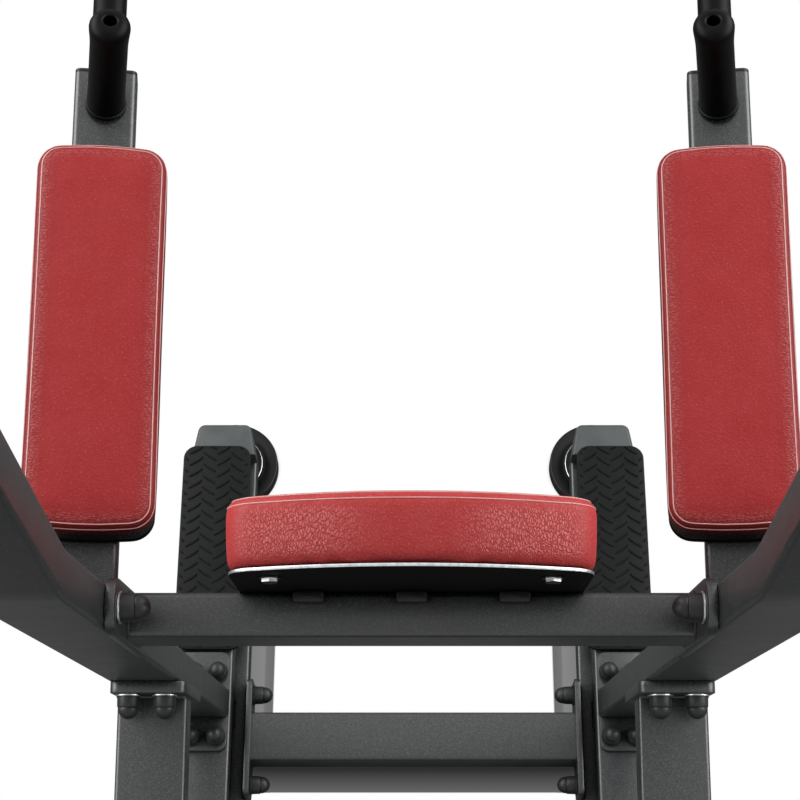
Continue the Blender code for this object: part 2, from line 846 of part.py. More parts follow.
def arm_fittings(side):
    """End plug, forward handle and upright grip."""
    name = side_name(side)
    tip = post_depth / 2 + arm_length
    forward = on_arm(side, 0.0) @ turn(-pi / 2, "X")
    plug = bar(f"arm_plug_{name}", rounded_rectangle(arm_width, arm_height, arm_corner), forward,
               tip + touch_gap, tip + plug_flange, "plug")
    skirt = bar(f"arm_plug_skirt_{name}",
                bore_outline(arm_width, arm_height, arm_corner, arm_wall),
                forward, tip - plug_skirt, tip + plug_flange / 2)
    hole = bar(f"arm_plug_hole_{name}", circle(grip_core_radius + touch_gap, grip_steps), forward,
               tip - 2 * plug_skirt, tip + 2 * plug_flange)
    combine(plug, skirt)
    combine(plug, hole, "DIFFERENCE")
    start = tip + plug_flange + touch_gap
    rubber_grip(f"dip_handle_{name}", forward @ shift(z=start), front_reach_along_arm() - start,
                handle_radius, handle_radius + 0.0015, grip_end_hole)
    grip = rubber_grip(f"upright_grip_{name}", grip_base(side), grip_length, grip_radius,
                       grip_bead_radius, grip_end_hole)
    mitre = bar(f"upright_grip_mitre_{name}", rounded_rectangle(trim_size, trim_size, arm_corner),
                grip_seat(side), -trim_size, touch_gap)
    combine(grip, mitre, "DIFFERENCE")


def pad_outline():
    """Plan of an arm pad: straight sides, ends that bow outwards and round corners."""
    w, h = pad_width / 2, pad_length / 2
    corners = []
    radii = []
    splits = 5
    for end in (-1, 1):
        for step in range(splits + 1):
            share = end * (1 - 2 * step / splits)
            corners.append((w * share, end * (h - pad_bow * share ** 2)))
            radii.append(pad_corner if step in (0, splits) else 0.0)
    return rounded_polygon(corners, radii, 6)


def arm_pad(side):
    """Forearm pad on its board, screwed down along the arm."""
    name = side_name(side)
    center = post_depth / 2 + arm_length - pad_front - pad_length / 2
    board_place = on_arm(side, center, arm_height / 2 + touch_gap) @ shift(x=-side * pad_inward)
    outline = pad_outline()
    board(f"arm_pad_board_{name}", outline, pad_board_thickness, pad_board_inset, board_edge,
          board_place)
    cushion(f"arm_pad_{name}", waisted(outline), pad_thickness,
            board_place @ shift(z=pad_board_thickness + touch_gap), pad_taper)


def waisted(outline, depth=0.0015, splits=3):
    """Outline with its long straight runs drawn in at the middle, as a sewn cover pulls."""
    drawn = []
    count = len(outline)
    for index, point in enumerate(outline):
        drawn.append(point)
        after = outline[(index + 1) % count]
        run = after - point
        if run.length < 0.05:
            continue
        inward = Vector((-run.y, run.x)).normalized()
        for step in range(1, splits + 1):
            t = step / (splits + 1)
            drawn.append(point + run * t + inward * depth * 4 * t * (1 - t))
    return drawn


def rear_brace(side):
    """Bent brace from a plate on the post's rear face down to the rails."""
    name = f"rear_brace_{side_name(side)}"
    x = side * brace_x
    start_back = -(post_depth / 2 + touch_gap)
    start = on_post(x, brace_along_post, start_back - brace_plate_thickness / 2).translation
    corner = on_post(x, brace_along_post, start_back - brace_reach).translation
    foot_top = upper_rail_top + touch_gap + brace_foot_thickness
    foot = Vector((x, brace_foot_y, foot_top - brace_foot_thickness / 2))
    down = (foot - corner).normalized()
    tilt = down.angle(Vector((0, 0, -1)))
    body = tube(name, rounded_rectangle(brace_width, brace_depth, brace_corner),
                bent_stations([start, corner, foot], brace_bend_radius, (1, 0, 0), 6),
                brace_wall, "powder")
    plate_x = side * (brace_plate_x - brace_x)
    upright = on_post(x, brace_along_post, start_back - brace_plate_thickness / 2) @ shift(x=plate_x)
    bore = [point - Vector((plate_x, 0.0)) for point in
            rounded_rectangle(brace_width - 4 * brace_wall, brace_depth - 4 * brace_wall,
                              brace_corner / 2)]
    top_plate = plate(f"brace_plate_{side_name(side)}",
                      rounded_rectangle(brace_plate_width, brace_plate_height,
                                        brace_plate_corner),
                      brace_plate_thickness, upright @ turn(pi / 2, "X"), holes=(bore,))
    combine(body, top_plate)
    below = bar(f"brace_trim_{side_name(side)}",
                rounded_rectangle(2 * trim_size, 2 * trim_size, brace_corner),
                shift(x, brace_foot_y, foot_top - brace_foot_thickness / 2),
                -trim_size - brace_depth * tan(tilt), 0.0)
    combine(body, below, "DIFFERENCE")
    foot_plate = plate(f"brace_foot_{side_name(side)}",
                       rounded_rectangle(brace_foot_width, brace_foot_length,
                                         foot_plate_corner),
                       brace_foot_thickness,
                       shift(x, brace_foot_y, foot_top - brace_foot_thickness / 2))
    combine(body, foot_plate)
    plate_face = start_back - brace_plate_thickness
    for place, spread in (("outer", brace_bolt_spread), ("inner", -brace_bolt_spread)):
        seat = on_post(side * (brace_bolt_x + spread), brace_along_post - brace_bolt_offset,
                       plate_face)
        lower = dome_bolt(f"brace_lower_bolt_{place}_{side_name(side)}",
                          seat @ turn(pi / 2, "X") @ shift(z=-washer_thickness / 2), None)
        combine(body, lower)


def brace_bolts(side):
    """The two capped bolts that stand above the brace."""
    rear = -(post_depth / 2 + 2 * touch_gap + brace_plate_thickness)
    for place, spread in (("outer", brace_bolt_spread), ("inner", -brace_bolt_spread)):
        frame = on_post(side * (brace_bolt_x + spread), brace_along_post + brace_bolt_offset,
                        rear)
        dome_bolt(f"brace_bolt_{place}_{side_name(side)}", frame @ turn(pi / 2, "X"))


def base_cross_member():
    """Tube between the lower rails with a bolted plate at each end."""
    half = lower_rail_x - lower_rail_width / 2 - touch_gap
    center_z = upper_rail_top - cross_below_rail_top - cross_height / 2
    along_x = shift(0.0, cross_y, center_z) @ turn(pi / 2, "Y")
    tube_half = half - cross_plate_thickness / 2
    body = tube("base_cross_member",
                rounded_rectangle(cross_height, cross_width, cross_corner),
                straight(along_x, -tube_half, tube_half), cross_wall, "powder")
    bore = rounded_rectangle(cross_height - 4 * cross_wall, cross_width - 4 * cross_wall,
                             cross_corner / 2)
    for side in (-1, 1):
        end = plate(f"cross_plate_{side_name(side)}",
                    rounded_rectangle(cross_plate_height, cross_plate_length,
                                      cross_plate_corner),
                    cross_plate_thickness,
                    along_x @ shift(z=side * (half - cross_plate_thickness / 2)), holes=(bore,))
        combine(body, end)
    face = half - cross_plate_thickness - touch_gap
    for side in (-1, 1):
        for label, y in (("front", cross_bolt_offset), ("rear", -cross_bolt_offset)):
            frame = shift(side * face, cross_y + y, center_z) @ turn(-side * pi / 2, "Y")
            dome_bolt(f"cross_bolt_{label}_{side_name(side)}", frame)


def bar_paths():
    """Corners of the pull-up bar, and the side direction square to its plane."""
    post_front = on_post(0.0, bend_along_post, 0.0).translation.y + post_depth / 2
    y = post_front + touch_gap + bar_standoff
    drop = Vector((cos(bar_end_droop), sin(bar_end_forward) * sin(bar_end_droop),
                   -cos(bar_end_forward) * sin(bar_end_droop)))
    right = Vector((bar_straight_half, y, bar_height))
    tip = right + drop * bar_end_length
    corners = [Vector((-tip.x, tip.y, tip.z)), Vector((-right.x, right.y, right.z)), right, tip]
    normal = Vector((1, 0, 0)).cross(drop).normalized()
    return corners, normal, drop, post_front


def pull_up_bar():
    """Bar with drooping ends, held off the posts by two welded stems and flanges."""
    corners, normal, drop, post_front = bar_paths()
    body = tube("pull_up_bar", circle(bar_radius, round_steps),
                bent_stations(corners, bar_bend_radius, normal, 4), bar_wall, "powder")
    for side in (-1, 1):
        back = shift(side * post_x, post_front + touch_gap, bar_height) @ turn(-pi / 2, "X")
        stem = bar(f"bar_stem_{side_name(side)}",
                   rounded_rectangle(bar_stem_width, bar_stem_height, 0.006), back,
                   bar_flange_thickness / 2, bar_standoff - bar_radius + bar_wall / 2)
        flange = plate(f"bar_flange_{side_name(side)}",
                       rounded_rectangle(bar_flange_width, bar_flange_height, 0.010),
                       bar_flange_thickness, back @ shift(z=bar_flange_thickness / 2))
        combine(stem, flange)
        saddle_height = bar_radius * 1.2
        saddle = bar(f"bar_saddle_{side_name(side)}",
                     rounded_rectangle(bar_stem_width, saddle_height, 0.002), back,
                     bar_flange_thickness / 2, bar_standoff - bar_radius / 2)
        combine(stem, saddle)
        inner = bar(f"bar_bore_{side_name(side)}", circle(bar_radius - bar_wall / 2, round_steps),
                    shift(0.0, corners[1].y, bar_height) @ turn(pi / 2, "Y"),
                    -bar_straight_half, bar_straight_half)
        combine(stem, inner, "DIFFERENCE")
        combine(body, stem)
    for side in (-1, 1):
        way = Vector((side * drop.x, drop.y, drop.z))
        end = Vector((side * corners[3].x, corners[3].y, corners[3].z))
        frame = Matrix.Translation(end) @ way.to_track_quat("Z", "Y").to_matrix().to_4x4()
        bore = bar_radius + touch_gap
        profile = [
            (grip_end_hole, bar_sleeve_cap),
            (bar_sleeve_radius * 0.75, bar_sleeve_cap - 0.001),
            (bar_sleeve_radius, bar_sleeve_cap - 0.006),
            (bar_sleeve_radius, -bar_sleeve_length + 0.002),
            (bar_sleeve_radius - 0.001, -bar_sleeve_length),
            (bore, -bar_sleeve_length),
            (bore, touch_gap),
            (grip_end_hole, touch_gap),
        ]
        turned(f"bar_sleeve_{side_name(side)}", profile, frame, "grip", grip_steps)


def build():
    for side in (-1, 1):
        suction_foot(side, foot_front_y, "front")
        suction_foot(side, foot_rear_y, "rear")
        base_rails(side)
        step_mat(side)
        rail_end_cap(side, True)
        rail_end_cap(side, False)
        post(side)
        foot_bolts(side)
        beam_bolts(side)
        arm(side)
        arm_fittings(side)
        arm_pad(side)
        rear_brace(side)
        brace_bolts(side)
    base_cross_member()
    back_beam()
    backrest()
    pull_up_bar()


build()
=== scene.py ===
from math import copysign, cos, exp, hypot, pi, radians, sin, tan

import bmesh
import bpy
from mathutils import Matrix, Vector
from mathutils.bvhtree import BVHTree


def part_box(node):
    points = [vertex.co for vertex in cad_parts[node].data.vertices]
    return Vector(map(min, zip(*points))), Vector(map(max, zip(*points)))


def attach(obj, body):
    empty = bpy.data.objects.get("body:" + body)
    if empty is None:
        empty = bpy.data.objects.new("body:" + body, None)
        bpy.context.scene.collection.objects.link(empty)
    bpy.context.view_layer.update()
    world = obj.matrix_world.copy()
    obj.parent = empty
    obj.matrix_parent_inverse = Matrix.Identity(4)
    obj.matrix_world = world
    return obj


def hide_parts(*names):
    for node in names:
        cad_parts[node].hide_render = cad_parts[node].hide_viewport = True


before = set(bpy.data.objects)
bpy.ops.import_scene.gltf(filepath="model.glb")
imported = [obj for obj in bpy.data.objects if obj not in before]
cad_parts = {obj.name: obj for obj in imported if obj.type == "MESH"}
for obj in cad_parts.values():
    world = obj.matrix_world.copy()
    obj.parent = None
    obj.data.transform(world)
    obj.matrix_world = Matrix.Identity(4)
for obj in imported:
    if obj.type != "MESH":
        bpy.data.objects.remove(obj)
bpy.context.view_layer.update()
print("frame loaded")

gap = 0.0003

# the leaning frame that the posts stand in, and the levels of the base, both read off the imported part
lean = radians(10.0)
postFootY = 0.0466
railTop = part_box("post_left")[0].z - gap
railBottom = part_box("lower_rail_left")[0].z
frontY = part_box("dip_handle_left")[1].y


def shift(x=0.0, y=0.0, z=0.0):
    return Matrix.Translation((x, y, z))


def turn(degrees, axis):
    return Matrix.Rotation(radians(degrees), 4, axis)


def onPost(x, along, forward):
    # local Y points forward, local Z runs up the leaning post
    y = postFootY - along * sin(lean) + forward * cos(lean)
    z = railTop + along * cos(lean) + forward * sin(lean)
    return shift(x, y, z) @ Matrix.Rotation(lean, 4, "X")


def sideName(side):
    return "right" if side > 0 else "left"


def setAll(target, **settings):
    for key, value in settings.items():
        setattr(target, key, value)
    return target


# materials

def toLinear(hexColor):
    parts = [int(hexColor[i:i + 2], 16) / 255 for i in (1, 3, 5)]
    return tuple(c / 12.92 if c <= 0.04045 else ((c + 0.055) / 1.055) ** 2.4 for c in parts) + (1.0,)


def addNode(tree, kind, inputs=None, output=0, **settings):
    # adds a shader node, links or sets its inputs and returns one of its outputs
    node = setAll(tree.nodes.new("ShaderNode" + kind), **settings)
    for key, value in (inputs or {}).items():
        if isinstance(value, bpy.types.NodeSocket):
            tree.links.new(value, node.inputs[key])
        else:
            node.inputs[key].default_value = value
    return node.outputs[output] if node.outputs else None


def chain(tree, kind, operation, first, *others):
    # first joined to each of the others in turn, by a Math or VectorMath operation
    for other in others:
        first = addNode(tree, kind, {0: first, 1: other}, operation=operation)
    return first


def startMaterial(name, **constants):
    material = bpy.data.materials.new(name)
    material.use_nodes = True
    tree = material.node_tree
    shader = tree.nodes["Principled BSDF"]
    for key, value in constants.items():
        shader.inputs[key.replace("_", " ")].default_value = value
    return material, tree, shader, addNode(tree, "TexCoord", output="Object")


def feed(shader, key, source):
    shader.id_data.links.new(source, shader.inputs[key])


def perMillimetre(size):
    # texture scale at which one cell is this many millimetres wide
    return 1000.0 / size


def noise(tree, place, size, detail, roughness=0.5):
    return addNode(tree, "TexNoise", {"Vector": place, "Scale": perMillimetre(size), "Detail": detail,
                                      "Roughness": roughness})


def mapRange(tree, value, fromMin, fromMax, toMin=0.0, toMax=1.0, **settings):
    return addNode(tree, "MapRange", {"Value": value, "From Min": fromMin, "From Max": fromMax,
                                      "To Min": toMin, "To Max": toMax}, **settings)


def shadeRamp(tree, value, stops):
    # colour ramp through hex colours; a place left free at 1.0 stays white
    ramp = addNode(tree, "ValToRGB", {"Fac": value})
    elements = ramp.node.color_ramp.elements
    for spot, colour in stops:
        stop = elements[0] if spot == 0.0 else elements[-1] if spot == 1.0 else elements.new(spot)
        stop.color = toLinear(colour)
    return ramp


def colourBetween(tree, shader, factor, dark, light, low=0.3, high=0.7):
    ramp = shadeRamp(tree, factor, ((0.0, dark), (1.0, light)))
    elements = ramp.node.color_ramp.elements
    elements[0].position, elements[1].position = low, high
    feed(shader, "Base Color", ramp)
    return ramp


def roughnessBetween(tree, shader, factor, low, high):
    feed(shader, "Roughness", mapRange(tree, factor, 0.0, 1.0, low, high))


def bump(tree, shader, height, strength, depth):
    feed(shader, "Normal", addNode(tree, "Bump", {"Height": height, "Strength": strength,
                                                  "Distance": depth}))


def powderCoat():
    # mild steel tube, polyester powder sprayed and baked: charcoal with a fine metallic fleck and
    # a slight orange peel, so flat faces look soft and rounded edges catch a bright line
    material, tree, shader, place = startMaterial("powderCoatedSteel", Metallic=0.0, IOR=1.52)
    # real flecks are 0.2 mm; 0.8 mm is about the least that shows from the camera
    fleck = addNode(tree, "TexVoronoi", {"Vector": place, "Scale": perMillimetre(0.8)}, "Color")
    ramp = colourBetween(tree, shader, addNode(tree, "SeparateColor", {"Color": fleck}),
                         "#101112", "#404445", 0.20, 1.0)
    ramp.node.color_ramp.elements.new(0.72).color = toLinear("#1c1e1f")
    roughnessBetween(tree, shader, noise(tree, place, 40.0, 3.0), 0.31, 0.41)
    # painted shade: in corners and under plates the coat's gloss is turned down by ambient occlusion,
    # so it mirrors little there
    openness = addNode(tree, "AmbientOcclusion", {"Distance": 0.06}, "AO", samples=8)
    feed(shader, "Specular IOR Level", mapRange(tree, openness, 0.30, 0.64, 0.04, 0.62))
    bump(tree, shader, noise(tree, place, 1.8, 2.0), 0.20, 0.0003)
    return material


def redLeather(name, stretch, fold, dark, light):
    # artificial leather, PVC on a knit, roller embossed: fine pebble grain, and where the cover is
    # pulled over an edge the grain opens into long wrinkles that run across the edge; the grain
    # crowns and the wrinkles are painted lighter as a painted sheen, and the lower wall of the arm
    # pads is painted dark towards the board as a painted shade
    material, tree, shader, place = startMaterial(name, IOR=1.5, Specular_IOR_Level=0.17)
    edge = addNode(tree, "Attribute", output="Fac", attribute_name="wrinkleAndSheen")
    grain = addNode(tree, "TexVoronoi", {"Vector": place, "Scale": perMillimetre(2.0)},
                    feature="SMOOTH_F1")
    drift = noise(tree, place, 7.0, 2.0).node.outputs["Color"]
    moved = addNode(tree, "VectorMath", {0: drift, "Scale": 0.003}, operation="SCALE")
    bent = chain(tree, "VectorMath", "ADD", place, moved)
    squeezed = addNode(tree, "Mapping", {"Vector": bent, "Scale": stretch})
    folds = addNode(tree, "TexVoronoi", {"Vector": squeezed, "Scale": perMillimetre(fold)},
                    feature="DISTANCE_TO_EDGE")
    crease = mapRange(tree, folds, 0.0, 0.26, interpolation_type="SMOOTHSTEP")
    wrinkleAndSheenMask = chain(tree, "Math", "MULTIPLY", crease, edge)
    height = chain(tree, "Math", "ADD", wrinkleAndSheenMask, chain(tree, "Math", "MULTIPLY", grain, -0.80))
    bump(tree, shader, height, 0.70, 0.0003 * fold)
    # painted highlight: the crowns of the grain are made lighter
    crown = mapRange(tree, grain, 0.28, 0.08, 0.0, 0.24, interpolation_type="SMOOTHSTEP")
    # painted sheen: the wrinkles are made lighter
    pulled = chain(tree, "Math", "MULTIPLY", wrinkleAndSheenMask, 0.46)
    patch = chain(tree, "Math", "MULTIPLY", noise(tree, place, 40.0, 7.0, 0.72), 0.20)
    toneAndSheen = chain(tree, "Math", "ADD", crown, pulled, patch)
    sheenAndTone = colourBetween(tree, shader, toneAndSheen, dark, light, 0.0, 1.0)
    # painted shade: the colour is scaled down towards the board on the arm pads' lower wall
    paintedUnderShade = addNode(tree, "Attribute", output="Fac", attribute_name="paintedUnderShade")
    feed(shader, "Base Color", addNode(tree, "VectorMath", {0: sheenAndTone, "Scale": paintedUnderShade},
                                       operation="SCALE"))
    roughnessBetween(tree, shader, crease, 0.54, 0.38)
    return material


def mouldedGoods(name, dark, light, rough, grain, depth, shine):
    # injection moulded, pressed or dipped goods with a fine eroded mould skin
    material, tree, shader, place = startMaterial(name, IOR=1.49, Specular_IOR_Level=shine)
    bump(tree, shader, noise(tree, place, grain, 3.0), 0.3, depth)
    dust = noise(tree, place, 25.0, 5.0)
    colourBetween(tree, shader, dust, dark, light)
    roughnessBetween(tree, shader, dust, rough - 0.06, rough + 0.06)
    return material


def platedMetal(name, dark, light, rough, grain):
    # zinc plated or freshly cut steel: pale metal with faint cloudy patches from the bath
    material, tree, shader, place = startMaterial(name, Metallic=1.0)
    cloud = noise(tree, place, grain, 4.0)
    colourBetween(tree, shader, cloud, dark, light)
    roughnessBetween(tree, shader, cloud, rough - 0.08, rough + 0.08)
    return material


steelCoat = powderCoat()
padLeather = redLeather("embossedLeatherPads", (0.42, 1.0, 0.42), 2.1, "#89181b", "#bd6260")
backLeather = redLeather("embossedLeatherBackrest", (1.0, 0.45, 1.0), 2.2, "#982022", "#d27a76")
# the piping's pale pink is partly its own colour and partly a painted highlight along each ridge
pipingVinyl = mouldedGoods("extrudedVinylPiping", "#c68f8b", "#d3a09c", 0.38, 1.5, 0.0001, 0.4)
treadRubber = mouldedGoods("pressedRubberMat", "#0a0b0b", "#101111", 0.54, 0.9, 0.0002, 0.11)
footRubber = mouldedGoods("mouldedRubberFoot", "#090909", "#101010", 0.34, 1.2, 0.0002, 0.20)
gripRubber = mouldedGoods("dippedGripRubber", "#030303", "#060606", 0.44, 1.1, 0.0002, 0.08)
capPlastic = mouldedGoods("mouldedGreyCap", "#393c3c", "#434646", 0.46, 1.0, 0.0002, 0.36)
plugPlastic = mouldedGoods("mouldedBlackPlug", "#0f0f10", "#161617", 0.45, 1.0, 0.0002, 0.30)
domePlastic = mouldedGoods("mouldedBoltCap", "#1c1d1e", "#262728", 0.42, 0.8, 0.0002, 0.30)
sheetSteel = mouldedGoods("paintedSheetSteel", "#050505", "#080808", 0.60, 1.6, 0.0001, 0.05)
zincPlate = platedMetal("zincPlatedSteel", "#b4b7b8", "#d4d6d7", 0.30, 6.0)
blackZinc = platedMetal("blackZincSteel", "#2a2b2c", "#3a3b3c", 0.34, 5.0)
# bare cut steel for the backrest board's rim; its pale colour is also a painted highlight along that
# edge
edgeSteelAndHighlight = platedMetal("cutSteelEdgeAndHighlight", "#a3a6a7", "#c4c6c7", 0.42, 3.0)
print("materials ready")


# shapes

def meshFrom(bm, name):
    mesh = bpy.data.meshes.new(name)
    bm.to_mesh(mesh)
    bm.free()
    return mesh


def addObject(name, data):
    added = bpy.data.objects.new(name, data)
    bpy.context.scene.collection.objects.link(added)
    return added


def finishPiece(name, bm, material, node=None, others=(), sharp=38.0):
    bmesh.ops.recalc_face_normals(bm, faces=bm.faces)
    mesh = meshFrom(bm, name)
    for finish in (material, *others):
        mesh.materials.append(finish)
    mesh.shade_smooth()
    mesh.set_sharp_from_angle(angle=radians(sharp))
    piece = addObject(name, mesh)
    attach(piece, "root")
    if node:
        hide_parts(node)


def joined(*shapes):
    whole = shapes[0]
    for shape in shapes[1:]:
        carrier = meshFrom(shape, "carrier")
        whole.from_mesh(carrier)
        bpy.data.meshes.remove(carrier)
    return whole


def painted(bm, index):
    for face in bm.faces:
        face.material_index = index
    return bm


def placed(bm, place):
    bmesh.ops.transform(bm, matrix=place, verts=bm.verts)
    return bm


def vertsOf(items):
    return [item for item in items if isinstance(item, bmesh.types.BMVert)]


def edgesOf(items):
    return [item for item in items if isinstance(item, bmesh.types.BMEdge)]


def cutAway(bm, point, way):
    # takes off what lies past the plane and closes the cut
    cut = bmesh.ops.bisect_plane(bm, geom=bm.verts[:] + bm.edges[:] + bm.faces[:], plane_co=point,
                                 plane_no=way, clear_outer=True)["geom_cut"]
    bmesh.ops.holes_fill(bm, edges=edgesOf(cut))


def roundEnds(bm, radius):
    # rounds the rims of the faces that look along local Z
    rims = {edge for face in bm.faces if abs(face.normal.z) > 0.99 for edge in face.edges}
    roundEdges(bm, rims, radius, 2)


def roundEdges(bm, edges, radius, steps):
    bmesh.ops.bevel(bm, geom=list(edges), offset=radius, offset_type="OFFSET", segments=steps,
                    profile=0.5, affect="EDGES", material=-1, clamp_overlap=True)
    bm.normal_update()


def tall(edge):
    return abs(edge.verts[0].co.z - edge.verts[1].co.z)


def block(place, size, corner=0.0, rim=0.0, steps=5):
    # block centred on the frame, its edges along local Z rounded by corner, its end rims by rim
    bm = bmesh.new()
    bmesh.ops.create_cube(bm, size=1.0, matrix=Matrix.Diagonal((*size, 1.0)))
    bm.normal_update()
    if corner:
        roundEdges(bm, [e for e in bm.edges if tall(e) > size[2] / 2], corner, steps)
    if rim:
        roundEnds(bm, rim)
    return placed(bm, place)


def plate(place, size, corner):
    # cut steel plate with its edges just broken
    return block(place, size, corner, 0.0007)


def bentStations(corners, radius, side, steps=10):
    points = [Vector(corner) for corner in corners]
    side = Vector(side).normalized()

    def station(point, ahead):
        rotation = Matrix((side, ahead.cross(side), ahead)).transposed().to_4x4()
        return Matrix.Translation(point) @ rotation

    stations = [station(points[0], (points[1] - points[0]).normalized())]
    for index in range(1, len(points) - 1):
        ahead = (points[index] - points[index - 1]).normalized()
        after = (points[index + 1] - points[index]).normalized()
        angle = ahead.angle(after)
        start = points[index] - ahead * radius * tan(angle / 2)
        axis = ahead.cross(after).normalized()
        center = start + axis.cross(ahead) * radius
        for step in range(steps + 1):
            rotation = Matrix.Rotation(angle * step / steps, 3, axis)
            stations.append(station(center + rotation @ (start - center), rotation @ ahead))
    stations.append(station(points[-1], (points[-1] - points[-2]).normalized()))
    return stations


def sweptTube(stations, width, depth, corner, steps=5):
    # rectangle drawn along the stations, its long edges rounded afterwards
    bm = bmesh.new()
    w, d = width / 2, depth / 2
    ring = [bm.verts.new(stations[0] @ Vector((x, y, 0.0)))
            for x, y in ((-w, -d), (w, -d), (w, d), (-w, d))]
    edges = [bm.edges.new((ring[i - 1], ring[i])) for i in range(4)]
    level = {vert: 0 for vert in ring}
    last = stations[0]
    for number, station in enumerate(stations[1:], 1):
        made = bmesh.ops.extrude_edge_only(bm, edges=edges)["geom"]
        fresh, edges = vertsOf(made), edgesOf(made)
        bmesh.ops.transform(bm, matrix=station @ last.inverted(), verts=fresh)
        level.update((vert, number) for vert in fresh)
        last = station
    along = [e for e in bm.edges if level[e.verts[0]] != level[e.verts[1]]]
    bmesh.ops.holes_fill(bm, edges=bm.edges, sides=4)
    bmesh.ops.recalc_face_normals(bm, faces=bm.faces)
    roundEdges(bm, along, corner, steps)
    return bm


def turned(profile, place, steps=48):
    # profile of (radius, height) spun round local Z
    bm = bmesh.new()
    verts = [bm.verts.new((radius, 0.0, height)) for radius, height in profile]
    edges = [bm.edges.new(pair) for pair in zip(verts, verts[1:])]
    if profile[0][0] > 0:
        edges.append(bm.edges.new((verts[-1], verts[0])))
    bmesh.ops.spin(bm, geom=verts + edges, cent=(0, 0, 0), axis=(0, 0, 1), angle=2 * pi,
                   steps=steps, use_merge=True)
    bmesh.ops.remove_doubles(bm, verts=bm.verts, dist=0.00001)
    bmesh.ops.recalc_face_normals(bm, faces=bm.faces)
    return placed(bm, place)


def arc(centerR, centerZ, radius, fromDegrees, toDegrees, steps):
    # points on a circle in the profile plane, 0 degrees outwards and 90 up
    points = []
    for step in range(steps + 1):
        a = radians(fromDegrees + (toDegrees - fromDegrees) * step / steps)
        points.append((centerR + radius * cos(a), centerZ + radius * sin(a)))
    return points


def evaluatedMesh(piece):
    bpy.context.view_layer.update()
    return bpy.data.meshes.new_from_object(piece.evaluated_get(bpy.context.evaluated_depsgraph_get()))


def rod(points, radii, closed=False, sides=8):
    # round bar or bead along points, made with a curve and kept as a mesh
    curve = setAll(bpy.data.curves.new("path", "CURVE"), dimensions="3D", bevel_depth=1.0,
                   bevel_resolution=sides // 2 - 2, use_fill_caps=not closed)
    spline = curve.splines.new("POLY")
    spline.points.add(len(points) - 1)
    for point, place, radius in zip(spline.points, points, radii):
        point.co = (*place, 1.0)
        point.radius = radius
    spline.use_cyclic_u = closed
    holder = addObject("path", curve)
    mesh = evaluatedMesh(holder)
    bm = bmesh.new()
    bm.from_mesh(mesh)
    bmesh.ops.remove_doubles(bm, verts=bm.verts, dist=0.000005)
    bmesh.ops.recalc_face_normals(bm, faces=bm.faces)
    bpy.data.objects.remove(holder, do_unlink=True)
    bpy.data.meshes.remove(mesh)
    bpy.data.curves.remove(curve)
    return painted(bm, 0)


def roundedCorners(corners, radius, steps, run):
    # closed path through rounded corners, its straight runs split every run metres
    path = []
    count = len(corners)
    for index, corner in enumerate(corners):
        here = Vector(corner)
        back = (Vector(corners[index - 1]) - here).normalized()
        ahead = (Vector(corners[(index + 1) % count]) - here).normalized()
        half = back.angle(ahead) / 2
        reach = radius / tan(half)
        if half > radians(80):
            # almost straight on: no arc
            path.append(here)
        else:
            start = here + back * reach
            center = here + (back + ahead).normalized() * radius / sin(half)
            for step in range(steps + 1):
                a = (pi - 2 * half) * step / steps
                spoke = start - center
                path.append(center + Vector((spoke.x * cos(a) - spoke.y * sin(a),
                                             spoke.x * sin(a) + spoke.y * cos(a))))
    fine = []
    for index, point in enumerate(path):
        after = path[(index + 1) % len(path)]
        splits = max(1, round((after - point).length / run))
        fine += [point.lerp(after, step / splits) for step in range(splits)]
    return fine


# a tube runs into its plate by the overlap
welds = {"size": 0.0019, "run": 0.0022, "ripple": 0.16, "turn": 2.1, "overlap": 0.001}


def rippled(count, size, ripple):
    return [size * (1.0 + ripple * sin(index * welds["turn"])) for index in range(count)]


def weldBead(place, width, depth, corner):
    # fillet bead round a tube where it meets a plate, rippled as it is laid
    w, d = width / 2, depth / 2
    path = roundedCorners([(-w, -d), (w, -d), (w, d), (-w, d)], corner, 4, welds["run"])
    points = [place @ point.to_3d() for point in path]
    return rod(points, rippled(len(points), welds["size"], welds["ripple"]), closed=True, sides=6)


# bolts with their plastic domes

boltSizes = {"radius": 0.0125, "barrel": 0.0130, "washerRadius": 0.0145, "washer": 0.002,
             "groove": 0.0008}


def boltShape(place, washerSlot):
    s = boltSizes
    top = s["washer"] + s["barrel"]
    dome = s["radius"] - s["groove"]
    ring = [(s["radius"] - 0.004, 0.0), (s["washerRadius"] - 0.0004, 0.0), (s["washerRadius"], 0.0004),
            (s["washerRadius"], s["washer"] - 0.0005), (s["washerRadius"] - 0.0006, s["washer"]),
            (s["radius"] - 0.004, s["washer"])]
    cap = [(0.0, top + s["radius"])]
    cap += [(dome * cos(radians(a)), top + s["radius"] * sin(radians(a))) for a in range(80, 0, -10)]
    cap += [(dome, top + 0.0004), (dome - 0.0005, top - 0.0004), (s["radius"] - 0.0005, top - 0.0008),
            (s["radius"], top - 0.0016), (s["radius"] + 0.0003, s["washer"] + 0.0016),
            (s["radius"] + 0.0003, s["washer"] + 0.0002), (0.0, s["washer"] + 0.0002)]
    return joined(turned(cap, place, 36), painted(turned(ring, place, 36), washerSlot))


def bolt(node, place, bareWasher=False):
    # the bolts of the ears and braces show a bare zinc washer, the others a blackened one
    finishPiece(node + "_cap", boltShape(place, 1 if bareWasher else 0), domePlastic, node,
                [zincPlate])


# base: suction feet, rails, end caps, cross member

feet = {"x": 0.2795, "frontY": 0.444, "rearY": -0.484, "radius": 0.068, "ring": 0.045,
        "cup": 0.012, "wallDrop": 0.004, "hubEdge": 0.0015, "rimEdge": 0.0025}


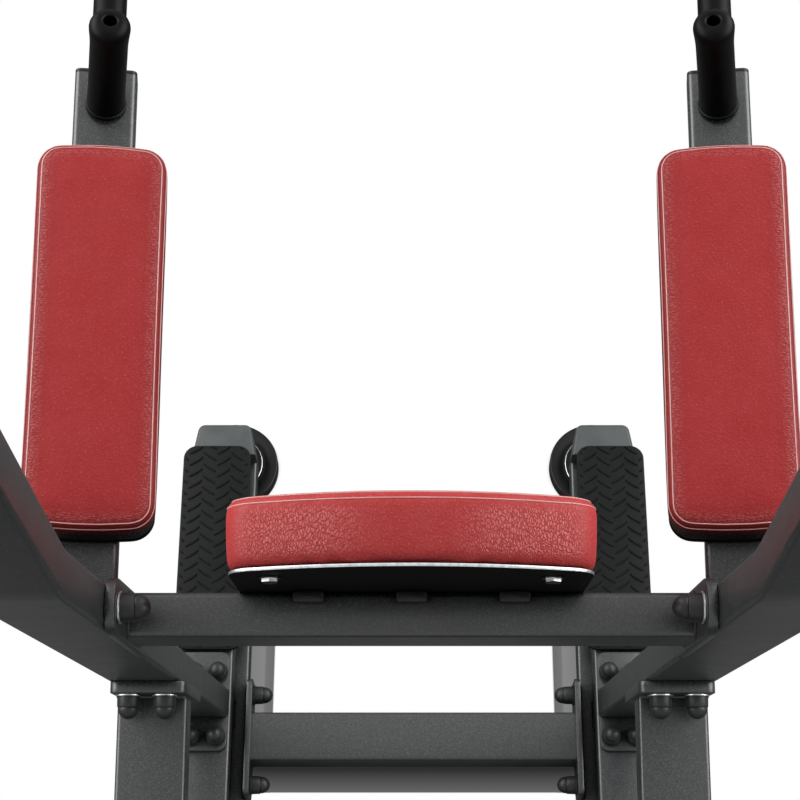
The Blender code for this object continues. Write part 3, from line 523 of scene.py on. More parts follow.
def suctionFoot(side, end):
    s = feet
    name = f"{end}_{sideName(side)}"
    top = railBottom - gap
    rim = top - s["wallDrop"]
    r, hub = s["radius"], s["ring"]
    hubEdge, rimEdge = s["hubEdge"], s["rimEdge"]
    profile = [(0.0, top), (hub - 0.002, top)]
    profile += arc(hub - hubEdge, top - hubEdge, hubEdge, 90, 0, 4)
    profile += [(hub + 0.0012, rim - 0.001), (hub + 0.004, rim - 0.0012), (hub + 0.006, rim)]
    profile += arc(r - rimEdge, rim - rimEdge, rimEdge, 90, 0, 5)
    profile += [(r - 0.0008, 0.004), (r, 0.002), (r, 0.0), (r - 0.010, 0.0)]
    profile += [(0.030, s["cup"]), (0.0, s["cup"] + 0.001)]
    foot = turned(profile, shift(), 72)
    for face in foot.faces:
        # painted highlight: the rim of the hub is given bright zinc, which shows as a glint along its
        # edge
        middle = face.calc_center_median()
        onRim = hub - 0.0012 < middle.xy.length < hub + 0.0001 and middle.z > top - 0.0014
        face.material_index = 1 if onRim else 0
    finishPiece("foot_" + name, placed(foot, shift(side * s["x"], s[end + "Y"])), footRubber,
                "suction_foot_" + name, [zincPlate])


rails = {"lowerX": 0.290, "lowerWidth": 0.100, "lowerHeight": 0.030, "upperX": 0.300,
         "upperWidth": 0.080, "upperHeight": 0.040, "corner": 0.005, "plateWidth": 0.096,
         "plate": 0.004, "plateFront": 0.432, "plateRear": 0.126, "plateCorner": 0.020,
         "plateEdge": 0.0006, "stepX": 0.296, "stitches": 6, "stitchStart": 0.06, "stitchEnd": 0.10,
         "stitchBeads": 14, "beadRun": 0.003, "beadSize": 0.0026, "beadRipple": 0.15}


def baseRails(side):
    s = rails
    name = sideName(side)
    low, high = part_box(f"lower_rail_{name}")
    length = high.y - low.y
    middle = (high.y + low.y) / 2
    alongY = turn(-90, "X")
    lower = block(shift(side * s["lowerX"], middle, railBottom + s["lowerHeight"] / 2) @ alongY,
                  (s["lowerWidth"], s["lowerHeight"], length), s["corner"])
    finishPiece(f"lowerRail_{name}", lower, steelCoat, f"lower_rail_{name}")
    upper = block(shift(side * s["upperX"], middle, railTop - s["upperHeight"] / 2) @ alongY,
                  (s["upperWidth"], s["upperHeight"], length), s["corner"])
    stepLength = s["plateFront"] - s["plateRear"]
    step = block(shift(side * s["stepX"], s["plateRear"] + stepLength / 2, railTop + s["plate"] / 2),
                 (s["plateWidth"], stepLength, s["plate"]), s["plateCorner"], s["plateEdge"])
    shapes = [upper, step]
    # stitch welds where the narrow rail stands on the wide one
    seamX = s["upperX"] - s["upperWidth"] / 2 + 0.0006
    seamZ = railTop - s["upperHeight"] + 0.0008
    spacing = (length - s["stitchStart"] - s["stitchEnd"]) / (s["stitches"] - 1)
    for stitch in range(s["stitches"]):
        start = low.y + s["stitchStart"] + stitch * spacing
        points = [Vector((side * seamX, start + s["beadRun"] * i, seamZ))
                  for i in range(s["stitchBeads"])]
        shapes.append(rod(points, rippled(len(points), s["beadSize"], s["beadRipple"]), sides=6))
    finishPiece(f"upperRail_{name}", joined(*shapes), steelCoat, f"upper_rail_{name}")


mats = {"width": 0.101, "thickness": 0.007, "frontPast": 0.0088, "rearPast": 0.003, "corner": 0.020,
        "edge": 0.0022, "column": 0.0415, "row": 0.0185, "leafReach": 0.0200, "leafFall": 0.0155,
        "bend": 0.62, "leafWidth": 0.0050, "leafRise": 0.0019, "stagger": 0.42, "lead": 0.0008,
        "border": 0.0026, "dive": 0.0012}


def leaf(apexX, apexY, way, half):
    # one raised tread leaf, steep along its lower edge and sloping away above it; it leaves the
    # apex almost straight down the mat, flattens outwards and ends blunt; what would pass the
    # mat's rounded border dives under its face
    s = mats
    bm = bmesh.new()
    bmesh.ops.create_grid(bm, x_segments=12, y_segments=4, size=0.5)
    profile = [(1.0, -0.15), (0.55, 0.45), (0.12, 1.0), (0.0, 0.80), (-0.05, -0.25)]
    for vert in bm.verts:
        t = 0.015 + 0.985 * (vert.co.x + 0.5)
        drop = s["leafFall"] * s["bend"] * t ** (s["bend"] - 1)
        across = Vector((way * drop, s["leafReach"])).normalized()
        width = s["leafWidth"] * (0.25 + 0.75 * t ** 0.6) * (1.0 - t ** 8) ** 0.5
        share, rise = profile[round((vert.co.y + 0.5) * 4)]
        x = apexX + way * s["leafReach"] * t + across.x * width * share
        y = apexY - s["leafFall"] * t ** s["bend"] + across.y * width * share
        core = Vector((half.x - s["corner"], half.y - s["corner"]))
        beyond = Vector((max(0.0, abs(x) - core.x), max(0.0, abs(y) - core.y)))
        height = s["leafRise"] * rise * min(1.0, 0.5 + 8 * t, 4 * (1 - t) + 0.45)
        if beyond.length > s["corner"]:
            beyond *= s["corner"] / beyond.length
            height = -s["dive"]
        vert.co = Vector((copysign(min(abs(x), core.x) + beyond.x, x),
                          copysign(min(abs(y), core.y) + beyond.y, y), height))
    return bm


def stepMat(side):
    s = mats
    name = sideName(side)
    length = rails["plateFront"] - rails["plateRear"] + s["frontPast"] + s["rearPast"]
    bottom = railTop + rails["plate"] + gap
    centerY = (rails["plateFront"] + rails["plateRear"] + s["frontPast"] - s["rearPast"]) / 2
    place = shift(side * rails["stepX"], centerY, bottom)
    half = Vector((s["width"] / 2 - s["border"], length / 2 - s["border"]))
    tread = []
    for column in (-1.5, -0.5, 0.5, 1.5):
        for way in (-1, 1):
            x = column * s["column"]
            if abs(x) > half.x and way * x > 0:
                continue
            for row in range(-1, int(length / s["row"]) + 1):
                # the arms that point inwards stand a little further forward
                stagger = s["stagger"] * s["row"] if way == -side else 0.0
                y = length / 2 + s["lead"] - row * s["row"] + stagger
                if y - s["leafFall"] < half.y and y > -half.y:
                    tread.append(leaf(x, y, way, half))
    base = block(shift(z=s["thickness"] / 2), (s["width"], length, s["thickness"]), s["corner"],
                 s["edge"], 8)
    whole = joined(base, placed(joined(*tread), shift(z=s["thickness"])))
    finishPiece(f"stepMat_{name}", placed(whole, place), treadRubber, f"step_mat_{name}")


endCaps = {"length": 0.050, "rise": 0.062, "endWidth": 0.082, "topTaper": 0.0045, "topX": 0.2885,
           "corner": 0.009, "edge": 0.0045, "wallShare": 0.35}


def railCap(side, front):
    s = endCaps
    node = f"rail_cap_{'front' if front else 'rear'}_{sideName(side)}"
    low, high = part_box(f"lower_rail_{sideName(side)}")
    start = high.y + gap if front else low.y - gap
    width, length, rise = rails["lowerWidth"], s["length"] - gap, s["rise"]
    bm = bmesh.new()
    bmesh.ops.create_cube(bm, size=1.0, matrix=shift(0.0, length / 2, rise / 2)
                          @ Matrix.Diagonal((width, length, rise, 1.0)))
    bmesh.ops.subdivide_edges(bm, edges=[e for e in bm.edges if tall(e) > 0.01], cuts=1)
    for vert in bm.verts:
        if vert.co.y > length / 2:
            vert.co.x *= s["endWidth"] / width
        if rise * 0.4 < vert.co.z < rise * 0.6:
            vert.co.z = rise * s["wallShare"]
        elif vert.co.z > rise / 2:
            vert.co.x *= 1 - s["topTaper"] / width
            vert.co.x += side * (s["topX"] - rails["lowerX"])
    bm.normal_update()
    corners = [e for e in bm.edges if tall(e) > 0.01
               and all(v.co.y > length - 0.001 for v in e.verts)]
    roundEdges(bm, corners, s["corner"], 6)
    rim = [e for e in bm.edges if all(v.co.z > rise - 0.0001 for v in e.verts)
           and not all(v.co.y < 0.001 for v in e.verts)]
    roundEdges(bm, rim, s["edge"], 5)
    place = shift(side * rails["lowerX"], start, railBottom)
    if not front:
        place = place @ Matrix.Diagonal((1.0, -1.0, 1.0, 1.0))
    finishPiece(node + "_wedge", placed(bm, place), capPlastic, node)


cross = {"y": 0.002, "width": 0.069, "height": 0.050, "corner": 0.005, "plateLength": 0.168,
         "plateHeight": 0.056, "plate": 0.008, "plateCorner": 0.010, "boltOffset": 0.065,
         "belowRailTop": 0.008}


def crossMember():
    s = cross
    half = rails["lowerX"] - rails["lowerWidth"] / 2 - gap
    face = half - s["plate"]
    centerZ = railTop - s["belowRailTop"] - s["height"] / 2
    alongX = shift(0.0, s["y"], centerZ) @ turn(90, "Y")
    shapes = [block(alongX, (s["height"], s["width"], 2 * (face + welds["overlap"])), s["corner"])]
    for side in (-1, 1):
        shapes.append(plate(alongX @ shift(z=side * (half - s["plate"] / 2)),
                            (s["plateHeight"], s["plateLength"], s["plate"]), s["plateCorner"]))
        shapes.append(weldBead(alongX @ shift(z=side * face), s["height"], s["width"], s["corner"]))
        for label, y in (("front", s["boltOffset"]), ("rear", -s["boltOffset"])):
            bolt(f"cross_bolt_{label}_{sideName(side)}",
                 shift(side * (face - gap), s["y"] + y, centerZ) @ turn(-side * 90, "Y"))
    finishPiece("crossMember", joined(*shapes), steelCoat, "base_cross_member")


for side in (-1, 1):
    suctionFoot(side, "front")
    suctionFoot(side, "rear")
    baseRails(side)
    stepMat(side)
    railCap(side, True)
    railCap(side, False)
crossMember()
print("base built")


# posts and rear braces

posts = {"x": 0.303, "width": 0.080, "depth": 0.040, "corner": 0.005, "bendAlong": 1.248,
         "bendRadius": 0.200, "plateWidth": 0.078, "plateFront": 0.073, "plateRear": 0.070,
         "plate": 0.008, "plateCorner": 0.012, "plug": 0.004, "plugEdge": 0.0012,
         "boltFront": 0.0425, "boltRear": 0.051, "boltInward": 0.0062, "boltSpread": 0.0175}


def post(side):
    s = posts
    name = sideName(side)
    x = side * s["x"]
    foot = onPost(x, s["plate"] / 2, 0.0).translation
    bend = onPost(x, s["bendAlong"], 0.0).translation
    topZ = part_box(f"post_{name}")[1].z
    tube = sweptTube(bentStations([foot, bend, Vector((x, bend.y, topZ))], s["bendRadius"], (1, 0, 0)),
                     s["width"], s["depth"], s["corner"])
    middle = postFootY + (s["plateFront"] - s["plateRear"]) / 2
    plateTop = railTop + gap + s["plate"]
    footPlate = plate(shift(x, middle, plateTop - s["plate"] / 2),
                      (s["plateWidth"], s["plateFront"] + s["plateRear"], s["plate"]), s["plateCorner"])
    bead = weldBead(shift(x, postFootY - s["plate"] * sin(lean), plateTop), s["width"] - 0.003,
                    s["depth"] / cos(lean), s["corner"])
    finishPiece(f"postTube_{name}", joined(tube, footPlate, bead), steelCoat, f"post_{name}")
    plug = block(shift(x, bend.y, topZ + gap + s["plug"] / 2),
                 (s["width"], s["depth"], s["plug"] - gap), s["corner"], s["plugEdge"])
    finishPiece(f"postPlug_{name}", plug, plugPlastic, f"post_plug_{name}")
    for label, y in (("front", s["boltFront"]), ("rear", -s["boltRear"])):
        for spot, spread in (("outer", s["boltSpread"]), ("inner", -s["boltSpread"])):
            bolt(f"foot_bolt_{label}_{spot}_{name}",
                 shift(side * (s["x"] - s["boltInward"] + spread), postFootY + y, plateTop + gap))


braces = {"x": 0.298, "along": 0.5005, "width": 0.080, "depth": 0.040, "corner": 0.005,
          "reach": 0.200, "footY": -0.400, "bendRadius": 0.100, "plateX": 0.296,
          "plateWidth": 0.086, "plateHeight": 0.150, "plate": 0.013, "plateCorner": 0.010,
          "boltX": 0.300, "boltSpread": 0.0205, "boltOffset": 0.050,
          "footLength": 0.120, "footWidth": 0.078, "footPlate": 0.008, "footCorner": 0.012}


def rearBrace(side):
    s = braces
    name = sideName(side)
    x = side * s["x"]
    back = -(posts["depth"] / 2 + gap)
    upright = onPost(x, s["along"], back - s["plate"] / 2) @ turn(90, "X")
    corner = onPost(x, s["along"], back - s["reach"]).translation
    foot = Vector((x, s["footY"], railTop + gap + s["footPlate"] / 2))
    tube = sweptTube(bentStations([upright.translation, corner, foot], s["bendRadius"], (1, 0, 0)),
                     s["width"], s["depth"], s["corner"])
    # the lower end is cut level where it stands on its foot plate
    cutAway(tube, foot, (0, 0, -1))
    topPlate = plate(upright @ shift(x=side * (s["plateX"] - s["x"])),
                     (s["plateWidth"], s["plateHeight"], s["plate"]), s["plateCorner"])
    footPlate = plate(Matrix.Translation(foot), (s["footWidth"], s["footLength"], s["footPlate"]),
                      s["footCorner"])
    bead = weldBead(upright @ shift(z=s["plate"] / 2), s["width"], s["depth"], s["corner"])
    shapes = [tube, topPlate, footPlate, bead]
    bolts = {"outer": s["boltX"] + s["boltSpread"], "inner": s["boltX"] - s["boltSpread"]}
    for boltX in bolts.values():
        seat = onPost(side * boltX, s["along"] - s["boltOffset"], back - s["plate"])
        cap = boltShape(seat @ turn(90, "X"), 1)
        for face in cap.faces:
            face.material_index += 1
        shapes.append(cap)
    finishPiece(f"rearBrace_{name}", joined(*shapes), steelCoat, f"rear_brace_{name}",
                [domePlastic, zincPlate])
    for spot, boltX in bolts.items():
        seat = onPost(side * boltX, s["along"] + s["boltOffset"], back - s["plate"] - gap)
        bolt(f"brace_bolt_{spot}_{name}", seat @ turn(90, "X"), True)


# beam between the posts

beam = {"along": 0.9595, "height": 0.080, "depth": 0.040, "corner": 0.005, "plateWidth": 0.050,
        "plate": 0.009, "plateEdge": 0.0009, "boltOffset": 0.088, "lugSpacing": 0.092,
        "lugWidth": 0.028, "lugHeight": 0.011, "lugDepth": 0.010, "lugCorner": 0.003,
        "lugEdge": 0.0018}


def backBeam():
    s = beam
    half = posts["x"] - posts["width"] / 2 - gap
    face = half - s["plate"]
    alongX = onPost(0.0, s["along"], 0.0) @ turn(90, "Y")
    shapes = [block(alongX, (s["height"], s["depth"], 2 * (face + welds["overlap"])), s["corner"])]
    for side in (-1, 1):
        shapes.append(block(alongX @ shift(z=side * (half - s["plate"] / 2)),
                            (2 * s["boltOffset"] + s["plateWidth"], s["plateWidth"], s["plate"]),
                            s["plateWidth"] / 2 - 0.0002, s["plateEdge"], 14))
        shapes.append(weldBead(alongX @ shift(z=side * face), s["height"], s["depth"], s["corner"]))
        seat = onPost(side * (face - gap), s["along"] + s["boltOffset"], 0.0)
        bolt(f"beam_bolt_{sideName(side)}", seat @ turn(-side * 90, "Y"), True)
    for x in (-s["lugSpacing"], 0.0, s["lugSpacing"]):
        seat = onPost(x, s["along"] + s["height"] / 2 + s["lugHeight"] / 2,
                      s["depth"] / 2 - s["lugDepth"] / 2 - gap)
        shapes.append(painted(block(seat, (s["lugWidth"], s["lugDepth"], s["lugHeight"] + 0.001),
                                    s["lugCorner"], s["lugEdge"], 4), 1))
    finishPiece("backBeam", joined(*shapes), steelCoat, "back_beam", [plugPlastic])


for side in (-1, 1):
    post(side)
    rearBrace(side)
backBeam()
print("posts, braces and beam built")


# dip arms with their grips

arms = {"x": 0.302, "along": 0.952, "roll": 7.5, "width": 0.060, "height": 0.040, "corner": 0.0062,
        "length": 0.5145, "tubeStart": 0.004, "flangeWidth": 0.078, "flangeHeight": 0.120,
        "flange": 0.006, "flangeCorner": 0.008, "plug": 0.004, "plugEdge": 0.0011,
        "coreRadius": 0.0125}
grips = {"radius": 0.0178, "bead": 0.0192, "length": 0.1235, "fromEnd": 0.0345, "inward": 0.001,
         "forwardTilt": 16.0, "inwardTilt": 3.2, "hole": 0.0065, "holeDepth": 0.030, "lip": 0.0025,
         "dome": 0.56, "rim": 0.0019, "handleRadius": 0.0165, "handleBead": 0.0180}


def onArm(side, forward, up=0.0):
    # local Y points forward, local Z out of the top face, which rolls down towards the user
    seat = onPost(side * arms["x"], arms["along"], forward)
    return seat @ turn(-side * arms["roll"], "Y") @ shift(z=up)


def gripProfile(length, radius, bead):
    # from the hole in the domed end, over the bead and down the body to the thin rim at its foot
    s = grips
    hole = s["hole"]
    lip = hole + s["lip"]
    rim = radius + s["rim"]
    core = arms["coreRadius"] + gap
    crown = bead * s["dome"]
    shoulder = length - crown
    profile = [(hole, length - s["holeDepth"]), (hole, length - 0.0012),
               (hole + 0.0010, length - 0.0002), (lip, length)]
    for a in range(75, -1, -15):
        profile.append((lip + (bead - lip) * cos(radians(a)), shoulder + crown * sin(radians(a))))
    profile += [(bead - 0.0003, shoulder - 0.005), (radius + 0.0004, shoulder - 0.013),
                (radius, shoulder - 0.022), (radius + 0.0002, 0.030), (radius + 0.0006, 0.006),
                (radius + 0.0006, 0.0045), (rim, 0.0036), (rim, 0.0006), (radius + 0.0013, 0.0),
                (core, 0.0), (core, length - s["holeDepth"] - 0.0010)]
    return profile


def armPieces(side):
    s = arms
    name = sideName(side)
    section = (s["width"], s["height"])
    root = posts["depth"] / 2 + gap
    tip = posts["depth"] / 2 + s["length"]
    forward = onArm(side, 0.0) @ turn(-90, "X")
    tubeRoot = root + s["tubeStart"]
    tube = block(forward @ shift(z=(tubeRoot + tip) / 2), (*section, tip - tubeRoot), s["corner"])
    square = onPost(side * s["x"], s["along"], 0.0) @ turn(-90, "X")
    flange = plate(square @ shift(x=side * (posts["x"] - s["x"]), z=root + s["flange"] / 2),
                   (s["flangeWidth"], s["flangeHeight"], s["flange"]), s["flangeCorner"])
    bead = weldBead(forward @ shift(z=root + s["flange"]), *section, s["corner"])
    finishPiece(f"dipArm_{name}", joined(tube, flange, bead), steelCoat, f"arm_{name}")
    plug = block(forward @ shift(z=tip + (s["plug"] + gap) / 2), (*section, s["plug"] - gap),
                 s["corner"], s["plugEdge"])
    finishPiece(f"armPlug_{name}", plug, plugPlastic, f"arm_plug_{name}")
    seat = onArm(side, tip - grips["fromEnd"], s["height"] / 2) @ shift(x=-side * grips["inward"])
    stand = seat @ turn(-side * grips["inwardTilt"], "Y") @ turn(-grips["forwardTilt"], "X")
    upright = turned(gripProfile(grips["length"], grips["radius"], grips["bead"]), stand, 64)
    # what dips below the arm's face is cut level with it
    cutAway(upright, seat @ Vector((0, 0, gap)), seat.to_3x3() @ Vector((0, 0, -1)))
    # the steel stub inside the grip shows under its lifted rim
    core = s["coreRadius"]
    stub = turned([(0.0, 0.020), (core, 0.020), (core, -0.004), (0.0, -0.004)], stand)
    finishPiece(f"gripStub_{name}", stub, steelCoat)
    finishPiece(f"uprightGrip_{name}", upright, gripRubber, f"upright_grip_{name}")
    start = tip + s["plug"] + gap
    axisY = onPost(0.0, s["along"], 0.0).translation.y
    length = (frontY - axisY - grips["hole"] * sin(lean)) / cos(lean) - start
    handle = turned(gripProfile(length, grips["handleRadius"], grips["handleBead"]),
                    forward @ shift(z=start), 64)
    finishPiece(f"dipHandle_{name}", handle, gripRubber, f"dip_handle_{name}")


for side in (-1, 1):
    armPieces(side)
print("arms and grips built")


# cushions: a slightly small block is inflated as cloth, then its seams are drawn in and piped

# the last three entries set where the painted shade on the arm pads' lower wall begins and fades
cushions = {"slack": 0.0012, "voxel": 0.005, "frames": 20, "pressure": 3.0, "tension": 25.0,
            "bending": 1.5, "stapled": 0.006, "leastPin": 0.05, "seamHold": 0.0045, "cap": 0.0022,
            "smoothing": 0.4, "outerSeam": 0.0098, "innerSeam": 0.0030, "band": 0.0050,
            "groove": 0.0010, "grooveWidth": 0.0022, "piping": 0.00058, "pipingLift": 0.35,
            "underShadeTop": 0.019, "underShadeFade": 0.030, "underShadeLeast": 0.15}
wrinkles = {"topDepth": 0.006, "topFrom": 0.006, "topWidth": 0.008, "topShare": 0.9,
            "underSeam": 0.005, "seamFade": 0.006, "overBoard": 0.006, "boardFade": 0.005,
            "middle": 0.025, "middleFade": 0.05, "end": 0.012, "endFade": 0.02,
            "smoothLeast": 0.12, "least": 0.08}


def outlineDistance(outline, x, y):
    # how far a point lies inside a closed outline
    best = 1e9
    inside = False
    for index, a in enumerate(outline):
        b = outline[(index + 1) % len(outline)]
        run = b - a
        t = max(0.0, min(1.0, ((x - a.x) * run.x + (y - a.y) * run.y) / run.length_squared))
        best = min(best, hypot(x - a.x - run.x * t, y - a.y - run.y * t))
        if (a.y > y) != (b.y > y) and x < a.x + run.x * (y - a.y) / run.y:
            inside = not inside
    return best if inside else -best


def insetOutline(outline, distance):
    # the outline with every point drawn in square to its edge
    drawn = []
    count = len(outline)
    for index, point in enumerate(outline):
        along = (outline[(index + 1) % count] - outline[index - 1]).normalized()
        drawn.append(point + Vector((-along.y, along.x)) * distance)
    return drawn


def seamsOf(thickness):
    # each seam's distance in from the outline and its height
    return ((0.0, thickness - cushions["outerSeam"]),
            (cushions["band"], thickness - cushions["innerSeam"]))


def cushionStart(outline, thickness, taper):
    # closed form: the board side drawn in by taper, full width at the outer seam, crowned in front
    slack = cushions["slack"]
    outer, inner = seamsOf(thickness)
    levels = [(taper * 0.45, thickness * 0.12), (taper * 0.2, thickness * 0.35),
              (0.0, outer[1] - 0.004), outer, inner, (inner[0] + 0.012, thickness - 0.0010),
              (inner[0] + 0.03, thickness)]
    bm = bmesh.new()
    ring = [bm.verts.new((p.x, p.y, 0.0)) for p in insetOutline(outline, taper + slack)]
    edges = [bm.edges.new((ring[i - 1], ring[i])) for i in range(len(ring))]
    for inset, z in levels:
        made = bmesh.ops.extrude_edge_only(bm, edges=edges)["geom"]
        fresh, edges = vertsOf(made), edgesOf(made)
        pairs = {old: edge.other_vert(old) for old in ring for edge in old.link_edges
                 if edge.other_vert(old) in fresh}
        ring = [pairs[old] for old in ring]
        for vert, point in zip(ring, insetOutline(outline, inset + slack)):
            vert.co = (point.x, point.y, z - slack / 2)
    bmesh.ops.holes_fill(bm, edges=bm.edges)
    bmesh.ops.triangulate(bm, faces=[f for f in bm.faces if len(f.verts) > 4])
    bmesh.ops.recalc_face_normals(bm, faces=bm.faces)
    return addObject("cushion", meshFrom(bm, "cushion"))


def bakeModifiers(piece):
    mesh = evaluatedMesh(piece)
    old = piece.data
    piece.modifiers.clear()
    piece.data = mesh
    bpy.data.meshes.remove(old)


def seamPull(co, outline, thickness):
    # 1 on a seam, fading to 0 a few millimetres off it
    inside = outlineDistance(outline, co.x, co.y)
    near = min(hypot(inside - inset, co.z - z) for inset, z in seamsOf(thickness))
    return exp(-(near / cushions["seamHold"]) ** 2)


def inflate(piece, outline, thickness):
    # air pressure in a cloth skin that is stapled to its board and sewn along the seams
    s = cushions
    scene = bpy.context.scene
    before = [vert.co.copy() for vert in piece.data.vertices]
    held = [1.0 if co.z < s["stapled"] else seamPull(co, outline, thickness) for co in before]
    pins = piece.vertex_groups.new(name="pins")
    for index, share in enumerate(held):
        if share > s["leastPin"]:
            pins.add([index], share, "REPLACE")
    cloth = piece.modifiers.new("cloth", "CLOTH")
    setAll(cloth.settings, use_pressure=True, uniform_pressure_force=s["pressure"],
           vertex_group_mass="pins", tension_stiffness=s["tension"], bending_stiffness=s["bending"])
    cloth.settings.effector_weights.gravity = 0.0
    setAll(cloth.point_cache, frame_start=1, frame_end=s["frames"])
    for number in range(1, s["frames"] + 1):
        scene.frame_set(number)
    bakeModifiers(piece)
    scene.frame_set(1)
    for vert, start, share in zip(piece.data.vertices, before, held):
        move = (vert.co - start) * (1.0 - share)
        if move.length > s["cap"]:
            move = move.normalized() * s["cap"]
        vert.co = start + move


def wrinkleMark(co, inside, thickness, reach, smoothMiddle):
    # how deep the cover folds here, which also sets its painted sheen: along the inner seam on top, and
    # down the wall
    s = wrinkles
    onTop = 0.0
    if co.z > thickness - s["topDepth"]:
        onTop = max(0.0, 1.0 - abs(inside - cushions["band"] - s["topFrom"]) / s["topWidth"])
    wall = thickness - cushions["outerSeam"] - co.z
    onWall = max(0.0, min(1.0, (wall - s["underSeam"]) / s["seamFade"],
                          (co.z - s["overBoard"]) / s["boardFade"]))
    if smoothMiddle:
        # the wall's ends and its middle are pulled smooth, so they also get less painted sheen
        onWall *= max(s["smoothLeast"], min(1.0, (abs(co.x) - s["middle"]) / s["middleFade"],
                                            (reach - abs(co.x) - s["end"]) / s["endFade"]))
    return max(s["least"], onTop * s["topShare"], onWall)


def cushion(name, node, outline, thickness, taper, place, leather, smoothMiddle=False,
            drawnBack=0.0):
    s = cushions
    piece = cushionStart(outline, thickness, taper)
    setAll(piece.modifiers.new("remesh", "REMESH"), mode="VOXEL", voxel_size=s["voxel"])
    bakeModifiers(piece)
    inflate(piece, outline, thickness)
    bm = bmesh.new()
    bm.from_mesh(piece.data)
    for repeat in range(2):
        bmesh.ops.smooth_vert(bm, verts=bm.verts, factor=s["smoothing"], use_axis_x=True,
                              use_axis_y=True, use_axis_z=True)
    bm.to_mesh(piece.data)
    bm.free()
    setAll(piece.modifiers.new("finer", "SUBSURF"), levels=1, render_levels=1)
    bakeModifiers(piece)
    mesh = piece.data
    seams = seamsOf(thickness)
    reach = max(point.x for point in outline)
    # drawn in along both seams, held over its board, marked where the cover wrinkles and takes the
    # painted sheen, and given the painted shade that darkens the arm pads' lower wall towards the board
    marks, paintedUnderShade = [], []
    normals = [vert.normal.copy() for vert in mesh.vertices]
    for vert, normal in zip(mesh.vertices, normals):
        inside = outlineDistance(outline, vert.co.x, vert.co.y)
        pull = 0.0
        for inset, z in seams:
            off = hypot(inside - inset, vert.co.z - z)
            pull += s["groove"] * exp(-(off / s["grooveWidth"]) ** 2)
        vert.co -= normal * pull
        vert.co.z = max(vert.co.z, 0.0)
        vert.co.y -= drawnBack * max(0.0, 1.0 - vert.co.z / seams[0][1])
        marks.append(wrinkleMark(vert.co, inside, thickness, reach, smoothMiddle))
        # painted shade: the arm pads' wall darkens towards the board
        underShadeShare = (vert.co.z - s["underShadeTop"]) / s["underShadeFade"] if drawnBack else 1.0
        paintedUnderShade.append(max(s["underShadeLeast"], min(1.0, underShadeShare)) ** 2)
    surface = BVHTree.FromPolygons([v.co.copy() for v in mesh.vertices],
                                   [tuple(p.vertices) for p in mesh.polygons])
    pipes = []
    for inset, z in seams:
        points = []
        for point in insetOutline(outline, inset):
            hit, normal = surface.find_nearest(Vector((point.x, point.y, z)))[:2]
            points.append(hit + normal * s["piping"] * s["pipingLift"])
        pipes.append(rod(points, [s["piping"]] * len(points), closed=True))
    for label, values in (("wrinkleAndSheen", marks), ("paintedUnderShade", paintedUnderShade)):
        mesh.attributes.new(label, "FLOAT", "POINT").data.foreach_set("value", values)
    mesh.transform(place)
    mesh.materials.clear()
    mesh.materials.append(leather)
    mesh.shade_smooth()
    piece.name = name
    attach(piece, "root")
    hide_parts(node)
    finishPiece(name + "_piping", placed(joined(*pipes), place), pipingVinyl)


def sheetBoard(name, node, outline, thickness, place, inset, edge):
    # thin board: the outline as one face, drawn up to its thickness, its rims eased
    bm = bmesh.new()
    bm.faces.new([bm.verts.new((p.x, p.y, 0.0)) for p in insetOutline(outline, inset)])
    made = bmesh.ops.extrude_face_region(bm, geom=bm.faces[:])["geom"]
    bmesh.ops.translate(bm, vec=(0, 0, thickness), verts=vertsOf(made))
    bmesh.ops.recalc_face_normals(bm, faces=bm.faces)
    bm.normal_update()
    roundEnds(bm, 0.0006)
    for face in bm.faces:
        face.material_index = 0 if abs(face.normal.z) > 0.9 else 1
    finishPiece(name, placed(bm, place), sheetSteel, node, [edge])


armPads = {"inward": 0.003, "width": 0.124, "length": 0.371, "thickness": 0.050, "corner": 0.024,
           "bow": 0.0045, "waist": 0.012, "front": 0.0925, "board": 0.006, "taper": 0.0012,
           "inset": 0.0022, "drawnBack": 0.0040}
outlines = {"steps": 10, "run": 0.012}


def armPad(side):
    s = armPads
    name = sideName(side)
    center = posts["depth"] / 2 + arms["length"] - s["front"] - s["length"] / 2
    place = onArm(side, center, arms["height"] / 2 + gap) @ shift(x=-side * s["inward"])
    w, h = s["width"] / 2, s["length"] / 2
    corners = []
    for end in (-1, 1):
        for step in range(6):
            share = end * (1 - 2 * step / 5)
            corners.append((w * share, end * (h - s["bow"] * share ** 2)))
    # the long sides are pulled in a little between the corners
    outline = [Vector((p.x * (1.0 - s["waist"] * (1.0 - min(1.0, abs(p.y) / h) ** 2)), p.y))
               for p in roundedCorners(corners, s["corner"], outlines["steps"], outlines["run"])]
    sheetBoard(f"padBoard_{name}", f"arm_pad_board_{name}", outline, s["board"],
               place @ shift(y=-s["drawnBack"]), s["inset"], sheetSteel)
    cushion(f"armPad_{name}", f"arm_pad_{name}", outline, s["thickness"], s["taper"],
            place @ shift(z=s["board"] + gap), padLeather, drawnBack=s["drawnBack"])


backrest = {"width": 0.319, "height": 0.360, "aboveBeam": 0.155, "arch": 0.038, "corner": 0.036,
            "thickness": 0.064, "board": 0.003, "taper": 0.0045, "inset": 0.005, "boltX": 0.120,
            "boltDrop": 0.027, "hexRadius": 0.0075, "hexHeight": 0.005, "hexEdge": 0.0008}


